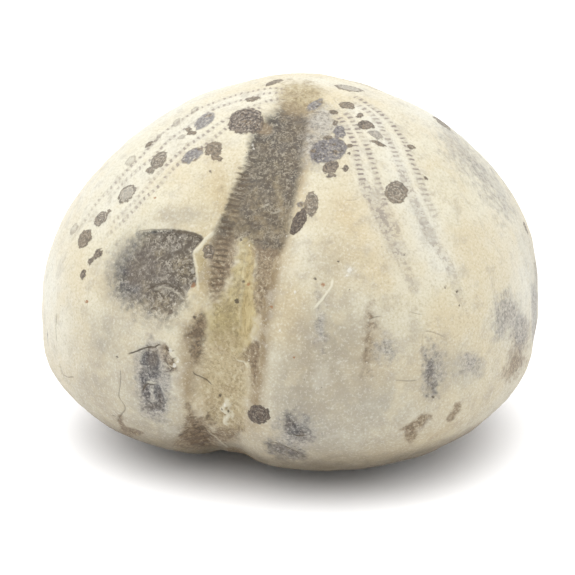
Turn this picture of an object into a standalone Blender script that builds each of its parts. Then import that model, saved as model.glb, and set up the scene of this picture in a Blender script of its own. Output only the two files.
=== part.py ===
"""A fossil heart urchin: one solid stone, the flint that filled and replaced the animal's shell.

Metres, +Z up. The origin is the centre of the footprint, on the surface that the stone rests on.
The front of the urchin, where its groove runs down to the mouth, faces -Y, and its left side is at -X.
A place on the stone is a direction from CORE: an azimuth, from the front towards +X, and a colatitude,
from straight up. Degrees are used for both.
"""

import math

import bmesh
import bpy
from mathutils import Vector

NODE = "fossil_urchin"

# Overall size
MEAN_RADIUS = 0.0296
DOME_RISE = 0.0285
BELLY_DROP = 0.0165
AMBITUS_HEIGHT = 0.0159
CORE = Vector((0.0, 0.0, AMBITUS_HEIGHT))

# Outline at the widest belt, as shares of the mean radius
FRONT_SHORTER = -0.030
WIDER_THAN_LONG = -0.012
HEART_SHARE = -0.022
SQUARE_SHARE = -0.010
TRUNCATION_SHARE = -0.030
TRUNCATION_SPREAD = 28.0

# Side profile: a superellipse whose exponent goes from the belly's to the dome's
DOME_EXPONENT = 1.89
BELLY_EXPONENT = 2.55
EXPONENT_BLEND = (-0.5, 0.7)
HEIGHT_BLEND = (-0.35, 0.35)

# The summit stands off the middle, and the five rays twist as they go down
SUMMIT_SHIFT = Vector((0.0012, -0.0012, 0.0))
TWIST_AT_SUMMIT = 12.0
TWIST_PER_DEGREE = -0.125

# The front groove: colatitude, depth and half width at stations from the summit to the mouth
GROOVE_STATIONS = (
    (8.0, 0.0000, 0.0030),
    (35.0, 0.0006, 0.0038),
    (62.0, 0.0013, 0.0039),
    (92.0, 0.0024, 0.0043),
    (115.0, 0.0022, 0.0039),
    (140.0, 0.0008, 0.0034),
)

# The four other rays are sunken petals
PETAL_AZIMUTHS = (-138.0, -50.0, 50.0, 138.0)
PETAL_SINK = 0.00035
PETAL_HALF_WIDTH = 0.0042
PETAL_SPAN = (10.0, 24.0, 55.0, 80.0)

# Pits: azimuth, colatitude, half width across, half width up and down, depth
MOUTH = (0.0, 138.0, 0.0042, 0.0026, 0.0018)
VENT = (180.0, 62.0, 0.0024, 0.0030, 0.0009)
SPALL = (-33.0, 70.0, 0.0052, 0.0050, 0.0008)

# Slow swells that keep the stone from being a perfect figure: waves per unit direction, height
SWELLS = (
    (Vector((2.3, 1.1, -0.7)), 0.00010),
    (Vector((-1.3, 2.9, 1.9)), 0.00008),
    (Vector((3.1, -2.2, 2.6)), 0.00008),
)

# A sphere of 5,120 triangles is pulled out to the form
SPHERE_SUBDIVISIONS = 5

STONE_COLOUR = (0.76, 0.70, 0.54, 1.0)
STONE_ROUGHNESS = 0.62


def smoothstep(low, high, value):
    """0 below low, 1 above high, and a smooth rise between them."""
    share = min(max((value - low) / (high - low), 0.0), 1.0)
    return share * share * (3.0 - 2.0 * share)


def mix(first, second, share):
    return first + (second - first) * share


def wrapped(degrees):
    """The same angle between -180 and 180."""
    return (degrees + 180.0) % 360.0 - 180.0


def direction_angles(direction):
    """Azimuth and colatitude of a unit direction."""
    azimuth = math.degrees(math.atan2(direction.x, -direction.y))
    colatitude = math.degrees(math.acos(max(-1.0, min(1.0, direction.z))))
    return azimuth, colatitude


def ray_azimuth(azimuth, colatitude):
    """Azimuth measured from the middle of the front ray, which twists as it goes down."""
    return wrapped(azimuth - TWIST_AT_SUMMIT - TWIST_PER_DEGREE * colatitude)


def outline_radius(azimuth):
    """Radius of the widest belt: a rounded heart with a cut-off back."""
    angle = math.radians(azimuth)
    behind = wrapped(azimuth - 180.0) / TRUNCATION_SPREAD
    share = 1.0 + FRONT_SHORTER * math.cos(angle)
    share += WIDER_THAN_LONG * math.cos(2.0 * angle)
    share += HEART_SHARE * math.cos(3.0 * angle)
    share += SQUARE_SHARE * math.cos(4.0 * angle)
    share += TRUNCATION_SHARE * math.exp(-behind * behind)
    return MEAN_RADIUS * share


def smooth_form(direction):
    """Point of the unmarked form in a direction, measured from CORE."""
    azimuth, _ = direction_angles(direction)
    exponent = mix(BELLY_EXPONENT, DOME_EXPONENT, smoothstep(*EXPONENT_BLEND, direction.z))
    rise = mix(BELLY_DROP, DOME_RISE, smoothstep(*HEIGHT_BLEND, direction.z))
    across = math.hypot(direction.x, direction.y) / outline_radius(azimuth)
    upward = abs(direction.z) / rise
    reach = (across ** exponent + upward ** exponent) ** (-1.0 / exponent)
    point = direction * reach
    return point + SUMMIT_SHIFT * (point.z / DOME_RISE)


def station_values(colatitude):
    """Depth and half width of the groove at a colatitude, eased from station to station."""
    if colatitude <= GROOVE_STATIONS[0][0] or colatitude >= GROOVE_STATIONS[-1][0]:
        return 0.0, GROOVE_STATIONS[0][2]
    for above, below in zip(GROOVE_STATIONS, GROOVE_STATIONS[1:]):
        if colatitude <= below[0]:
            share = smoothstep(above[0], below[0], colatitude)
            return mix(above[1], below[1], share), mix(above[2], below[2], share)


def groove_depth(point, azimuth, colatitude):
    """Depth of the front groove, which has a flat floor and rounded walls."""
    depth, half_width = station_values(colatitude)
    off_middle = ray_azimuth(azimuth, colatitude)
    if abs(off_middle) > 90.0:
        return 0.0
    offset = math.hypot(point.x, point.y) * math.sin(math.radians(off_middle))
    return depth / (1.0 + (offset / half_width) ** 4)


def petal_depth(point, azimuth, colatitude):
    """Depth of the four shallow petals."""
    start, full, fading, end = PETAL_SPAN
    strength = smoothstep(start, full, colatitude) * (1.0 - smoothstep(fading, end, colatitude))
    total = 0.0
    for petal in PETAL_AZIMUTHS:
        off_middle = math.radians(wrapped(ray_azimuth(azimuth, colatitude) - petal))
        offset = math.hypot(point.x, point.y) * off_middle / PETAL_HALF_WIDTH
        total += PETAL_SINK * strength * math.exp(-offset * offset)
    return total


def pit_depth(point, azimuth, colatitude, pit):
    """Depth of a rounded pit."""
    pit_azimuth, pit_colatitude, half_across, half_along, depth = pit
    turn = math.radians(wrapped(azimuth - pit_azimuth))
    across = math.hypot(point.x, point.y) * turn / half_across
    along = point.length * math.radians(colatitude - pit_colatitude) / half_along
    return depth * math.exp(-across * across - along * along)


def swell_height(direction):
    """Height of the slow swells in a direction."""
    return sum(height * math.sin(wave.dot(direction)) for wave, height in SWELLS)


def surface_point(direction):
    """Point of the stone in a direction, in the part's frame, cut off flat where it rests."""
    azimuth, colatitude = direction_angles(direction)
    point = smooth_form(direction)
    sink = groove_depth(point, azimuth, colatitude)
    sink += petal_depth(point, azimuth, colatitude)
    for pit in (MOUTH, VENT, SPALL):
        sink += pit_depth(point, azimuth, colatitude, pit)
    sink -= swell_height(direction)
    point = CORE + point - direction * sink
    point.z = max(point.z, 0.0)
    return point


def stone_material():
    """Pale cream stone, dull."""
    material = bpy.data.materials.new("pale_flint")
    material.use_nodes = True
    shader = material.node_tree.nodes["Principled BSDF"]
    shader.inputs["Base Color"].default_value = STONE_COLOUR
    shader.inputs["Roughness"].default_value = STONE_ROUGHNESS
    shader.inputs["Metallic"].default_value = 0.0
    return material


def centre_on_footprint(mesh):
    """Moves the mesh so that the middle of its width and length is over the origin."""
    for axis in (0, 1):
        places = [vertex.co[axis] for vertex in mesh.verts]
        middle = (min(places) + max(places)) / 2.0
        for vertex in mesh.verts:
            vertex.co[axis] -= middle


def build_urchin():
    """The one solid of the fossil."""
    mesh = bmesh.new()
    bmesh.ops.create_icosphere(mesh, subdivisions=SPHERE_SUBDIVISIONS, radius=1.0)
    for vertex in mesh.verts:
        vertex.co = surface_point(vertex.co.normalized())
    centre_on_footprint(mesh)
    bmesh.ops.recalc_face_normals(mesh, faces=mesh.faces)
    data = bpy.data.meshes.new(NODE)
    mesh.to_mesh(data)
    mesh.free()
    data.shade_smooth()
    data.materials.append(stone_material())
    urchin = bpy.data.objects.new(NODE, data)
    bpy.context.scene.collection.objects.link(urchin)
    return urchin


def clear_scene():
    for thing in list(bpy.data.objects):
        bpy.data.objects.remove(thing, do_unlink=True)


def main():
    clear_scene()
    build_urchin()


main()
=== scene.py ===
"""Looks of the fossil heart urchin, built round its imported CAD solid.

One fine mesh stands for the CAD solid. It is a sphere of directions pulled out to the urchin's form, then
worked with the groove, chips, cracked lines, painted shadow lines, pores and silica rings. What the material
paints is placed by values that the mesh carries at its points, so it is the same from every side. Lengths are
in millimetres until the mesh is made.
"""

import math

import bmesh
import bpy
import numpy as np
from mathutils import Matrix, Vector
from mathutils.bvhtree import BVHTree


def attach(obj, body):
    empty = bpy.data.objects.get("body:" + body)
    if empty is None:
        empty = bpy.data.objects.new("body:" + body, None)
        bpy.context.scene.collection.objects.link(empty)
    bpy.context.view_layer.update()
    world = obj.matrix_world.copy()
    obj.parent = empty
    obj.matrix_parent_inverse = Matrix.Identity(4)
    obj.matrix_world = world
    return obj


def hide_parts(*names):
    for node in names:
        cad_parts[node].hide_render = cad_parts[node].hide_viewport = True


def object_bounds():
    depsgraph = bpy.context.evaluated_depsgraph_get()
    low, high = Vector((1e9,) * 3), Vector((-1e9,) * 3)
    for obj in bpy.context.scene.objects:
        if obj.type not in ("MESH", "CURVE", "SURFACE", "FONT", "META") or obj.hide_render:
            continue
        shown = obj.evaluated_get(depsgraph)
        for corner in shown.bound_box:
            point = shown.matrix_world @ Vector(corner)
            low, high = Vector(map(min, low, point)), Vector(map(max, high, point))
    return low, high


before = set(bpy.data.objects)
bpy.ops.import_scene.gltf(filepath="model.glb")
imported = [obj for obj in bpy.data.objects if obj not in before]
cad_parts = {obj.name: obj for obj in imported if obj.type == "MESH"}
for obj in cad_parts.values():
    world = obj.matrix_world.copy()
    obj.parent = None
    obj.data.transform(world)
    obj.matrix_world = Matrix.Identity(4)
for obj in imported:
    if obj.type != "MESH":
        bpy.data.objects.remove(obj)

NODE = "fossil_urchin"
PIECE = "urchin_stone"
MM = 0.001

# ---------------------------------------------------------------- camera
PHOTO_SIDE = 575
PIXEL_MM = 0.1201
CAMERA_AZIMUTH = 19.0
CAMERA_ELEVATION = 20.0
CAMERA_DISTANCE = 500.0
CAMERA_CLIP = (0.01, 10.0)
SENSOR_MM = 36.0
AIM_POINT = np.array([0.0, 0.0, 20.0])
AIM_PIXEL = (295.0, 270.1)

# ---------------------------------------------------------------- form, as the CAD has it
MEAN_RADIUS = 29.6
DOME_RISE = 28.5
BELLY_DROP = 16.5
AMBITUS_HEIGHT = 15.9
OUTLINE_WAVES = ((1, -0.030), (2, -0.012), (3, -0.022), (4, -0.010))
TRUNCATION_SHARE = -0.030
TRUNCATION_SPREAD = 28.0
DOME_EXPONENT = 1.89
BELLY_EXPONENT = 2.55
EXPONENT_BLEND = (-0.5, 0.7)
HEIGHT_BLEND = (-0.35, 0.35)
SUMMIT_SHIFT = np.array([1.2, -1.2, 0.0])
TWIST_AT_SUMMIT = 12.0
TWIST_PER_DEGREE = -0.125
# The front groove: colatitude, depth and half width at stations from the summit to the mouth
GROOVE_STATIONS = (
    (8.0, 0.0, 3.0),
    (35.0, 0.6, 3.8),
    (62.0, 1.3, 3.9),
    (92.0, 2.4, 4.3),
    (115.0, 2.2, 3.9),
    (140.0, 0.8, 3.4),
)
PETAL_AZIMUTHS = (-138.0, -50.0, 50.0, 138.0)
PETAL_SINK = 0.35
PETAL_HALF_WIDTH = 4.2
PETAL_SPAN = (10.0, 24.0, 55.0, 80.0)
# Pits: azimuth, colatitude, half width across, half width up and down, depth
PITS = (
    (0.0, 138.0, 4.2, 2.6, 1.8),
    (180.0, 62.0, 2.4, 3.0, 0.9),
    (-33.0, 70.0, 5.2, 5.0, 0.8),
)
SWELLS = (((2.3, 1.1, -0.7), 0.10), ((-1.3, 2.9, 1.9), 0.08), ((3.1, -2.2, 2.6), 0.08))

# ---------------------------------------------------------------- mesh
SPHERE_CUTS = 80
FRONT_CROWDING = 1.42
ALMOST_QUARTER_TURN = 1.5707
# Lines are fine where they are this strong, most urgently in the middle and less by a slope to this reach
FINE_LINE_STRENGTH = 0.05
FINE_LINE_RANK = 3.0
FINE_LINE_SLOPE = 2.0
FINE_REACH = 0.45
FINE_ROW_STRENGTH = 0.1
# Where the mesh has to be fine: how deep inside or how near the edge, and how urgent it is
FINE_DOTS = (-0.4, 2.5)
FINE_CHIP = (2.5, 2.0)
FINE_SPOTS = (-0.35, 1.6)
FINE_BAND = (1.5, 1.2)
FINE_ROWS = (1.3, 1.0)
FINE_REGIONS = (0.0, 0.8)
MOST_TRIANGLES = 198000

# ---------------------------------------------------------------- marks, by pixels where the camera sees them
# Silica rings and mineral spots by their look: x, y, width, height, tilt (rising to the right)
SPOTS = {
    "brown": (
        (274, 82.4, 19, 6, 18), (251.8, 98.7, 17, 5, 8), (187.2, 129.3, 6, 5, 20), (190.8, 133, 10, 4, 10),
        (148, 144.8, 10, 4, 36), (108.4, 211.5, 5, 4, 0), (84, 239, 20, 13, 58), (346.4, 105.8, 15, 8, -6),
        (377, 144.3, 17, 4, -18), (327.3, 138.6, 9, 7, 0), (348.8, 146.4, 5, 4, 0), (348.3, 153.7, 4, 4, 0),
        (411, 147, 8, 5, -20), (335, 122.6, 6, 5, 0), (333.5, 112, 9, 4, -10),
    ),
    "blue": (
        (203.4, 120.7, 22, 12, 36), (191.5, 155.2, 22, 11, 32), (314.2, 104.4, 17, 7, 30),
        (299.5, 204.6, 5, 5, 0),
    ),
    "dark": (
        (209.7, 171.7, 3, 3, 0), (98, 254.6, 10, 8, 50), (90, 262, 9, 5, 60), (82.5, 275, 10, 6, 66),
        (358.9, 116, 7, 5, 0), (365, 125.5, 16, 9, -8), (330.2, 167, 17, 12, 24), (345, 168, 7, 6, -30),
        (330, 176, 9, 5, 10), (425.4, 178.6, 4, 4, 0),
    ),
    "faint": (
        (193.6, 109.5, 9, 4, 34), (175, 122, 10, 5, 50), (158, 137, 7, 4, 50), (130, 161, 13, 8, 45),
        (72.5, 229, 14, 6, 58), (181, 137.4, 8, 4, 30),
    ),
    "ring": (
        (158, 160, 21, 12, 48), (149.3, 170.5, 8, 7, 30), (100.3, 219, 18, 11, 46), (395.7, 192.6, 22, 22, 0),
        (310.6, 204, 13, 24, -8), (208, 252, 12, 14, 0),
    ),
    "halo": ((126, 194, 23, 13, 46), (349.3, 87.7, 28, 9, -12)),
    "grey": ((374.6, 135.5, 15, 8, -24),),
    "smoke": ((338.8, 132.6, 11, 13, 0), (327.8, 150, 36, 23, 14)),
    "deep": ((297.6, 221.5, 27, 12, 60), (257.6, 415.2, 21, 19, -20)),
}
# Spots that aren't round: their outlines
SPOT_OUTLINES = {
    "crest": (
        (228, 127), (229, 119), (235, 112.5), (243, 110), (252, 109.5), (259, 112), (262, 117), (262, 124),
        (258, 130), (251, 133), (244, 134), (236, 133), (230, 131),
    ),
    "brown": (
        (203, 149), (206, 143.5), (213, 141.5), (220, 143.5), (221.5, 150), (219.5, 155), (222, 159),
        (217, 161.5), (211, 160), (210, 155), (205, 154),
    ),
}
# Spots on the hidden sides: azimuth, colatitude, width and height in mm, tilt
FAR_SPOTS = {
    "ring": (
        (112, 38, 2.8, 2.6, 0), (150, 41, 3.1, 2.2, 20), (-157, 46, 2.9, 2.7, 0), (-98, 66, 2.6, 2.3, 0),
        (102, 69, 2, 1.6, 0), (176, 96, 2.2, 1.8, 15),
    ),
    "brown": (
        (124, 47, 1.6, 1.3, 30), (-168, 24, 1.6, 1.2, 0), (-140, 52, 1.9, 1.4, 40), (-104, 43, 1.5, 1.1, 10),
        (-131, 78, 1.5, 1.2, 0),
    ),
    "dark": ((131, 29, 1.2, 1, 0), (-149, 35, 1.2, 1.2, 0), (-86, 53, 1.2, 1, 0)),
    "blue": ((141, 58, 1.8, 1.5, 0), (168, 33, 2.4, 1.5, -20), (-124, 37, 2.5, 1.6, -30)),
    "halo": ((-117, 56, 2.3, 2.1, 0),),
    "grey": ((159, 72, 1.7, 1.4, 0),),
}
# What each look is: how ringed, how blue, how strong, and how pale in the middle (below nought it is darker)
SPOT_LOOKS = {
    "ring": (1.0, 0.15, 0.86, 0.0),
    "deep": (0.8, 0.1, 1.0, -0.40),
    "crest": (0.9, 0.25, 1.0, -0.02),
    "halo": (0.9, 0.15, 0.85, 0.32),
    "brown": (0.5, 0.0, 0.88, 0.0),
    "dark": (0.3, 0.2, 0.95, 0.0),
    "blue": (0.2, 1.0, 0.86, 0.0),
    "smoke": (0.1, 0.85, 0.95, -0.06),
    "grey": (0.5, 0.5, 0.72, 0.1),
    "faint": (0.9, 0.25, 0.45, 0.5),
}
RING_PITCH = 0.42

# Rows of pores along the petals: waypoints, how dark the row is, and half the width of its dashes in mm
PORE_ROWS = (
    (((352, 96), (369, 105.4), (388.5, 120.7), (402.9, 138.6), (411.5, 160), (420, 180), (429, 204),
     (439, 224)), 0.95, 0.42),
    (((351, 102), (361, 107.8), (374.6, 118.3), (384.7, 135), (392.5, 149), (400.5, 171), (410, 194),
     (419, 214), (431, 238), (447, 262), (459, 296), (467, 309)), 0.8, 0.4),
    (((343, 112), (350.7, 119.2), (361.2, 137.4), (369.4, 156), (375.3, 175), (382, 198), (389, 218),
     (399, 240), (408, 262)), 0.9, 0.38),
    (((338, 116), (346.9, 129.8), (353.6, 144), (358, 163), (363, 184), (373.5, 206), (386, 230), (403, 265),
     (412, 287), (417, 299)), 0.95, 0.4),
    (((285, 88), (260, 89), (236, 94), (209, 104), (190, 113), (165, 130), (143, 154), (113, 184), (103, 195),
     (93, 207), (75, 235)), 0.74, 0.29),
    (((285, 92), (262, 94), (240, 100), (210, 111), (170, 139), (148, 161), (124, 181),
     (104, 203)), 0.74, 0.29),
    (((280, 98), (262, 103), (240, 112), (218, 124), (195, 140), (175, 156), (155, 176), (137, 198),
     (120, 215), (107, 229)), 0.8, 0.31),
    (((262, 107), (240, 118), (203, 145), (174, 167), (159, 184), (142, 201), (131, 213), (118, 226),
     (101, 241)), 0.8, 0.31),
)
PORE_PITCH = 0.70
# Rows on the hidden petals: the petals, the greatest distance of each row from its petal's middle in mm, the
# colatitudes that a row spans, and the part of a sine that spreads the rows and draws them together again
FAR_PETALS = (-138.0, 138.0)
FAR_ROW_OFFSETS = (-3.6, -1.8, 1.8, 3.6)
FAR_ROW_SPAN = (13.0, 62.0)
FAR_ROW_SPREAD = (35.0, 125.0)
FAR_ROW_POINTS = 7
FAR_ROW_LOOK = (0.85, 0.38)
# The comb of short brown dashes down the groove's left side
COMB_ROW = ((245, 166), (239, 184), (234, 200), (230, 214), (226, 226), (223, 238), (219.5, 256),
            (216.5, 275), (215.5, 303))
COMB_LOOK = (0.85, 0.85)
COMB_PITCH = 0.68
# A row reaches this many half widths to its side. It fades from a share of its length, by so much
ROW_REACH = 2.4
ROW_RIM = 0.8
ROW_FADE = (0.60, 0.50)
ROW_ENDS = (0.5, 1.0)

# The groove's dark band, and how soft its edge is in mm, plain and where it is combed
BAND = (
    (299, 107), (290, 105), (281, 108), (271, 114), (260, 121), (252, 131), (247.5, 146), (246, 158),
    (241, 172), (235, 183), (231, 190), (228, 200), (224, 212), (218, 224), (213, 235), (212, 246),
    (220, 252), (229, 246), (238, 239), (249, 244), (254, 250), (260, 254), (266, 258), (272, 257),
    (279, 249.7), (286, 236.7), (290, 215), (293, 203), (296, 192), (298, 180), (301, 168), (303, 150),
    (307, 135), (308, 122), (305, 112),
)
BAND_SOFTNESS = (0.60, 0.26)
# The olive tongue in the groove, and the pale straw strip along its right side
TONGUE = (
    (238, 238), (250, 238), (256, 243), (258, 257), (258, 275), (257, 300), (256, 322), (253, 345),
    (244, 360), (232, 362), (220, 352), (208, 345), (205, 325), (207, 311), (216, 298), (225, 284),
    (231, 268), (234, 252),
)
STRAW = (
    (247, 248), (252, 247), (256, 257), (257, 272), (256, 296), (254, 320), (250, 345), (243, 352),
    (238, 340), (239, 312), (241, 292), (243.5, 268),
)
# The chip beside the groove, its sharp brink and the side where it fades, with the softness of both in mm
CHIP = (
    (136, 233), (150, 231), (170, 229.5), (185, 231), (197, 235), (203, 239), (199, 244), (194, 250),
    (192, 254), (193, 262), (194.5, 272), (196, 285), (188, 291), (187, 301), (182, 309), (175, 318),
    (165, 324), (150, 320), (135, 311), (120, 300), (112, 286), (114, 272), (122, 258), (130, 246),
    (134, 238),
)
CHIP_BRINK = (
    (134, 234), (150, 231), (170, 229.5), (185, 231), (197, 235), (203, 239), (199, 244), (194, 250),
    (191.5, 254.7), (193, 262), (194.8, 272), (196.4, 283), (187.5, 291.5), (186, 302),
)
CHIP_FADE = (
    (134, 238), (130, 246), (122, 258), (114, 272), (112, 286), (120, 300), (135, 311), (150, 320),
    (165, 324), (175, 318), (182, 309), (187, 303),
)
CHIP_SOFTNESS = (0.16, 1.5)
# Ragged patches by their ground: outline, softness of the edge in mm
PATCH_OUTLINES = {
    "brown": (
        (((185, 404), (190, 404), (193, 414), (204, 420), (212, 432), (217, 446), (199, 450), (173, 448),
         (177, 436), (185, 424)), 0.6),
        (((117, 417), (121, 416), (123, 424), (128, 429), (135, 430), (143, 433), (138, 437), (127, 437),
         (120, 430)), 0.2),
        (((399, 431), (407, 425), (413, 421), (420, 416), (429, 414), (432, 417), (427, 421), (422, 427),
         (417, 430), (416, 437), (411, 443), (405, 441), (403, 436), (406, 432)), 0.25),
        (((458, 402), (461, 407), (457, 414), (452, 421), (446, 422), (447, 414), (452, 410),
         (454, 404)), 0.2),
        (((215, 240), (227, 236), (236, 242), (234, 262), (228, 281), (219, 297), (210, 303), (209, 282),
         (211, 258)), 0.8),
        (((160, 346), (166, 344), (170, 350), (168, 356), (174, 362), (176, 370), (168, 372), (163, 366),
         (158, 360), (156, 350)), 0.3),
        (((237, 357), (244, 350), (251, 344), (258, 341), (259, 352), (257, 364), (258, 378), (252, 380),
         (249, 366), (243, 361)), 0.3),
        (((252, 244), (262, 246), (276, 250), (272, 266), (267, 286), (263, 306), (258, 316), (253, 300),
         (253, 270)), 0.7),
        (((514, 330), (528, 324), (528, 345), (522, 356), (514, 352)), 0.9),
        (((512, 350), (522, 352), (526, 362), (516, 376), (508, 382), (504, 374), (508, 362)), 0.7),
    ),
    "purple": (
        (((180, 434), (192, 425), (205, 428), (211, 438), (204, 447), (186, 446)), 0.7),
        (((200, 310), (205, 318), (206, 330), (205, 345), (202, 360), (194, 366), (189, 352), (190, 340),
         (183, 337), (190, 328), (196, 318)), 0.7),
        (((284, 96), (294, 88), (308, 90), (314, 100), (304, 114), (290, 115), (280, 108)), 1.7),
    ),
    "grey": (
        (((443, 127), (456, 136), (472, 151), (487, 166), (499, 186), (509, 208), (504, 211), (491, 194),
         (477, 178), (461, 162), (448, 145)), 2.4),
        (((498, 300), (508, 292), (514, 302), (523, 312), (530, 322), (527, 340), (520, 348), (508, 330),
         (500, 342), (494, 330), (495, 312)), 0.9),
        (((431, 357), (436, 360), (437, 370), (433, 384), (428, 378), (428, 364)), 0.8),
        (((462, 352), (472, 356), (481, 372), (478, 378), (462, 373), (456, 376), (462, 366)), 0.8),
    ),
    "dark": (
        (((284, 414), (298, 419), (305, 428), (307, 438), (294, 440), (282, 432)), 1.2),
        (((264, 443), (280, 446), (296, 450), (304, 459), (286, 459), (268, 453)), 0.7),
    ),
    "clay": (
        (((280, 92), (288, 84), (302, 82), (314, 85), (326, 95), (318, 106), (308, 113), (296, 114),
         (284, 109)), 0.9),
    ),
}
# Rounded patches by their ground: x, y, width, height, tilt, softness of the edge in mm
PATCHES = {
    "purple": ((211.4, 418, 13, 19, 0, 0.25),),
    "brown": (
        (218.6, 397, 7, 7, 0, 0.2), (237, 428, 17, 12, 10, 0.7), (253, 376, 7, 18, 0, 0.7),
        (262, 127, 20, 14, -12, 0.4), (369, 340, 9, 52, -6, 1.7), (222, 436, 30, 18, 10, 1),
        (152, 357, 16, 20, 20, 0.3), (170, 368, 11, 9, 20, 0.25), (370, 318, 9, 5, 10, 0.3),
        (366, 328, 7, 9, 0, 0.9),
    ),
    "dark": (
        (144, 388, 9, 36, 6, 0.45), (158, 398, 9, 28, 8, 0.45), (151, 408, 18, 9, 10, 0.45),
        (151, 376, 14, 8, 0, 0.5), (149.5, 362, 17, 24, 8, 0.5), (130, 280, 26, 44, 12, 2.6),
        (142, 262, 22, 40, 30, 2.6), (430, 370, 6, 20, 0, 1.7), (432, 388, 6, 14, 0, 1.7),
    ),
    "grey": (
        (151, 384, 36, 78, 3, 1.2), (320, 326, 9, 42, 4, 1.5), (311, 146, 18, 34, 8, 1.3),
        (434, 368, 18, 40, 0, 1.8), (470, 365, 24, 20, 0, 1.5), (322, 122, 32, 40, 10, 1.6),
        (294, 436, 40, 34, 0, 1.6), (384, 349, 16, 20, 0, 1.8), (46, 338, 3, 18, 4, 0.2),
    ),
    "clay": (
        (234, 216, 6, 26, 18, 3), (257, 214, 6, 20, 18, 3), (262, 232, 14, 6, 0, 2.6),
        (281, 208, 5, 30, 12, 2.4), (224, 382, 50, 92, -4, 1.6), (226, 410, 40, 44, 0, 1.4),
    ),
}
# Patches on the hidden sides: azimuth, colatitude, width and height in mm, tilt, softness
FAR_PATCHES = {
    "grey": (
        (95, 88, 5, 9, 20, 0.8), (126, 84, 7, 4, -20, 1.2), (-172, 84, 4, 8, 0, 1),
        (-136, 104, 6, 4, -15, 0.9), (-96, 102, 5, 3, 0, 0.8), (-150, 70, 6, 3, 25, 1.3),
        (60, 126, 7, 5, 0, 1), (-120, 134, 8, 5, 0, 1),
    ),
    "brown": (
        (108, 100, 4, 3, 0, 0.35), (147, 101, 3.5, 5, 10, 0.4), (165, 112, 6, 3, 0, 0.5),
        (-158, 97, 5, 3, 30, 0.4), (-112, 92, 3, 6, 0, 0.4), (-75, 112, 4, 2.4, 0, 0.3),
        (2, 122, 6, 5, 0, 0.6), (-12, 132, 5, 6, 0, 0.8), (110, 138, 6, 8, 0, 0.9), (170, 142, 9, 6, 0, 1.2),
        (180, 62, 3.4, 4.2, 0, 0.7),
    ),
}
GROUNDS = ("brown", "grey", "purple", "dark", "clay")

# Soft clouds by their tint: x, y, width, height, tilt, strength. Most are colour under the surface, but the
# broad pale ones along the top and both side edges are painted highlight, and two grey ones along the foot
# are partly painted shade
CLOUDS = {
    "grey": (
        (178, 216, 66, 26, 4, 0.5), (112, 292, 30, 50, 10, 0.35), (128, 270, 40, 66, 0, 0.9),
        (104, 342, 44, 60, -20, 0.5), (92, 388, 50, 50, -30, 0.45), (385, 405, 80, 60, 0, 0.42),
        (330, 262, 56, 60, 0, 0.26), (95, 330, 60, 50, 0, 0.2), (148, 384, 50, 92, 3, 0.75),
        (318, 112, 20, 20, 0, 0.45), (326, 262, 22, 22, 0, 0.1), (322, 345, 70, 96, 20, 0.48),
        (292, 396, 54, 84, 20, 0.5), (296, 428, 44, 40, -10, 0.6), (332, 415, 104, 84, 0, 0.36),
        # The last two on this line lie along the foot and are partly painted shade near the floor
        (350, 350, 130, 120, 0, 0.26), (318, 452, 160, 40, -4, 0.44), (168, 434, 120, 34, -12, 0.46),
        (318, 151, 40, 40, 0, 0.4), (440, 366, 50, 50, 0, 0.42), (466, 368, 36, 32, 0, 0.42),
        (433, 388, 30, 34, 0, 0.4), (512, 324, 40, 60, 0, 0.3), (451, 160, 44, 36, -40, 0.1),
    ),
    "brown": (
        (110, 420, 60, 30, -30, 0.25), (325, 350, 64, 84, 0, 0.22), (300, 385, 60, 80, 0, 0.22),
        (204, 272, 20, 60, 0, 0.28), (300, 91, 46, 20, 0, 0.15), (286, 104, 36, 22, 20, 0.25),
        (330, 335, 130, 110, 0, 0.14), (372, 338, 34, 60, -12, 0.24), (372, 366, 24, 40, 0, 0.18),
    ),
    "tan": (
        (335, 205, 56, 64, 0, 0.26), (330, 262, 50, 60, 0, 0.42), (202, 264, 18, 60, 0, 0.7),
        (150, 430, 60, 18, -5, 0.35), (186, 388, 14, 100, 2, 0.55), (220, 190, 26, 96, 12, 0.7),
        (240, 180, 14, 90, 14, 0.55), (200, 275, 14, 50, 0, 0.5), (196, 322, 26, 40, 0, 0.6),
        (212, 176, 60, 70, 20, 0.22), (390, 200, 120, 110, 0, 0.14), (224, 378, 56, 70, 0, 0.65),
        (216, 418, 60, 44, 0, 0.6), (248, 424, 34, 30, 0, 0.45), (345, 225, 76, 110, -10, 0.26),
        (400, 268, 80, 90, -20, 0.2), (312, 128, 14, 34, 10, 0.65), (300, 190, 12, 50, 12, 0.6),
        (290, 310, 30, 90, 6, 0.4), (345, 458, 150, 18, -4, 0.6), (430, 438, 110, 22, 24, 0.55),
    ),
    # The broad ones along the top and both side edges are painted highlight; the small ones are the stone's
    # paler tone
    "pale": (
        (430, 112, 130, 70, -30, 1), (170, 106, 200, 56, 30, 1), (90, 190, 110, 50, 50, 0.8),
        (340, 84, 130, 26, -12, 0.6), (500, 190, 70, 120, 20, 0.55), (150, 330, 60, 22, 0, 0.2),
        (48, 290, 60, 150, 0, 0.9), (528, 280, 60, 150, 0, 0.9), (210, 130, 170, 70, 30, 0.3),
        (348, 272, 16, 14, 0, 0.6), (300, 250, 40, 50, 0, 0.3), (190, 250, 300, 60, 30, 0.1),
    ),
    "olive": (
        (226, 330, 56, 60, 0, 0.7), (202, 262, 20, 60, 0, 0.7), (214, 200, 60, 60, 0, 0.16),
        (228, 385, 40, 60, 0, 0.45),
    ),
}
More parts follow.
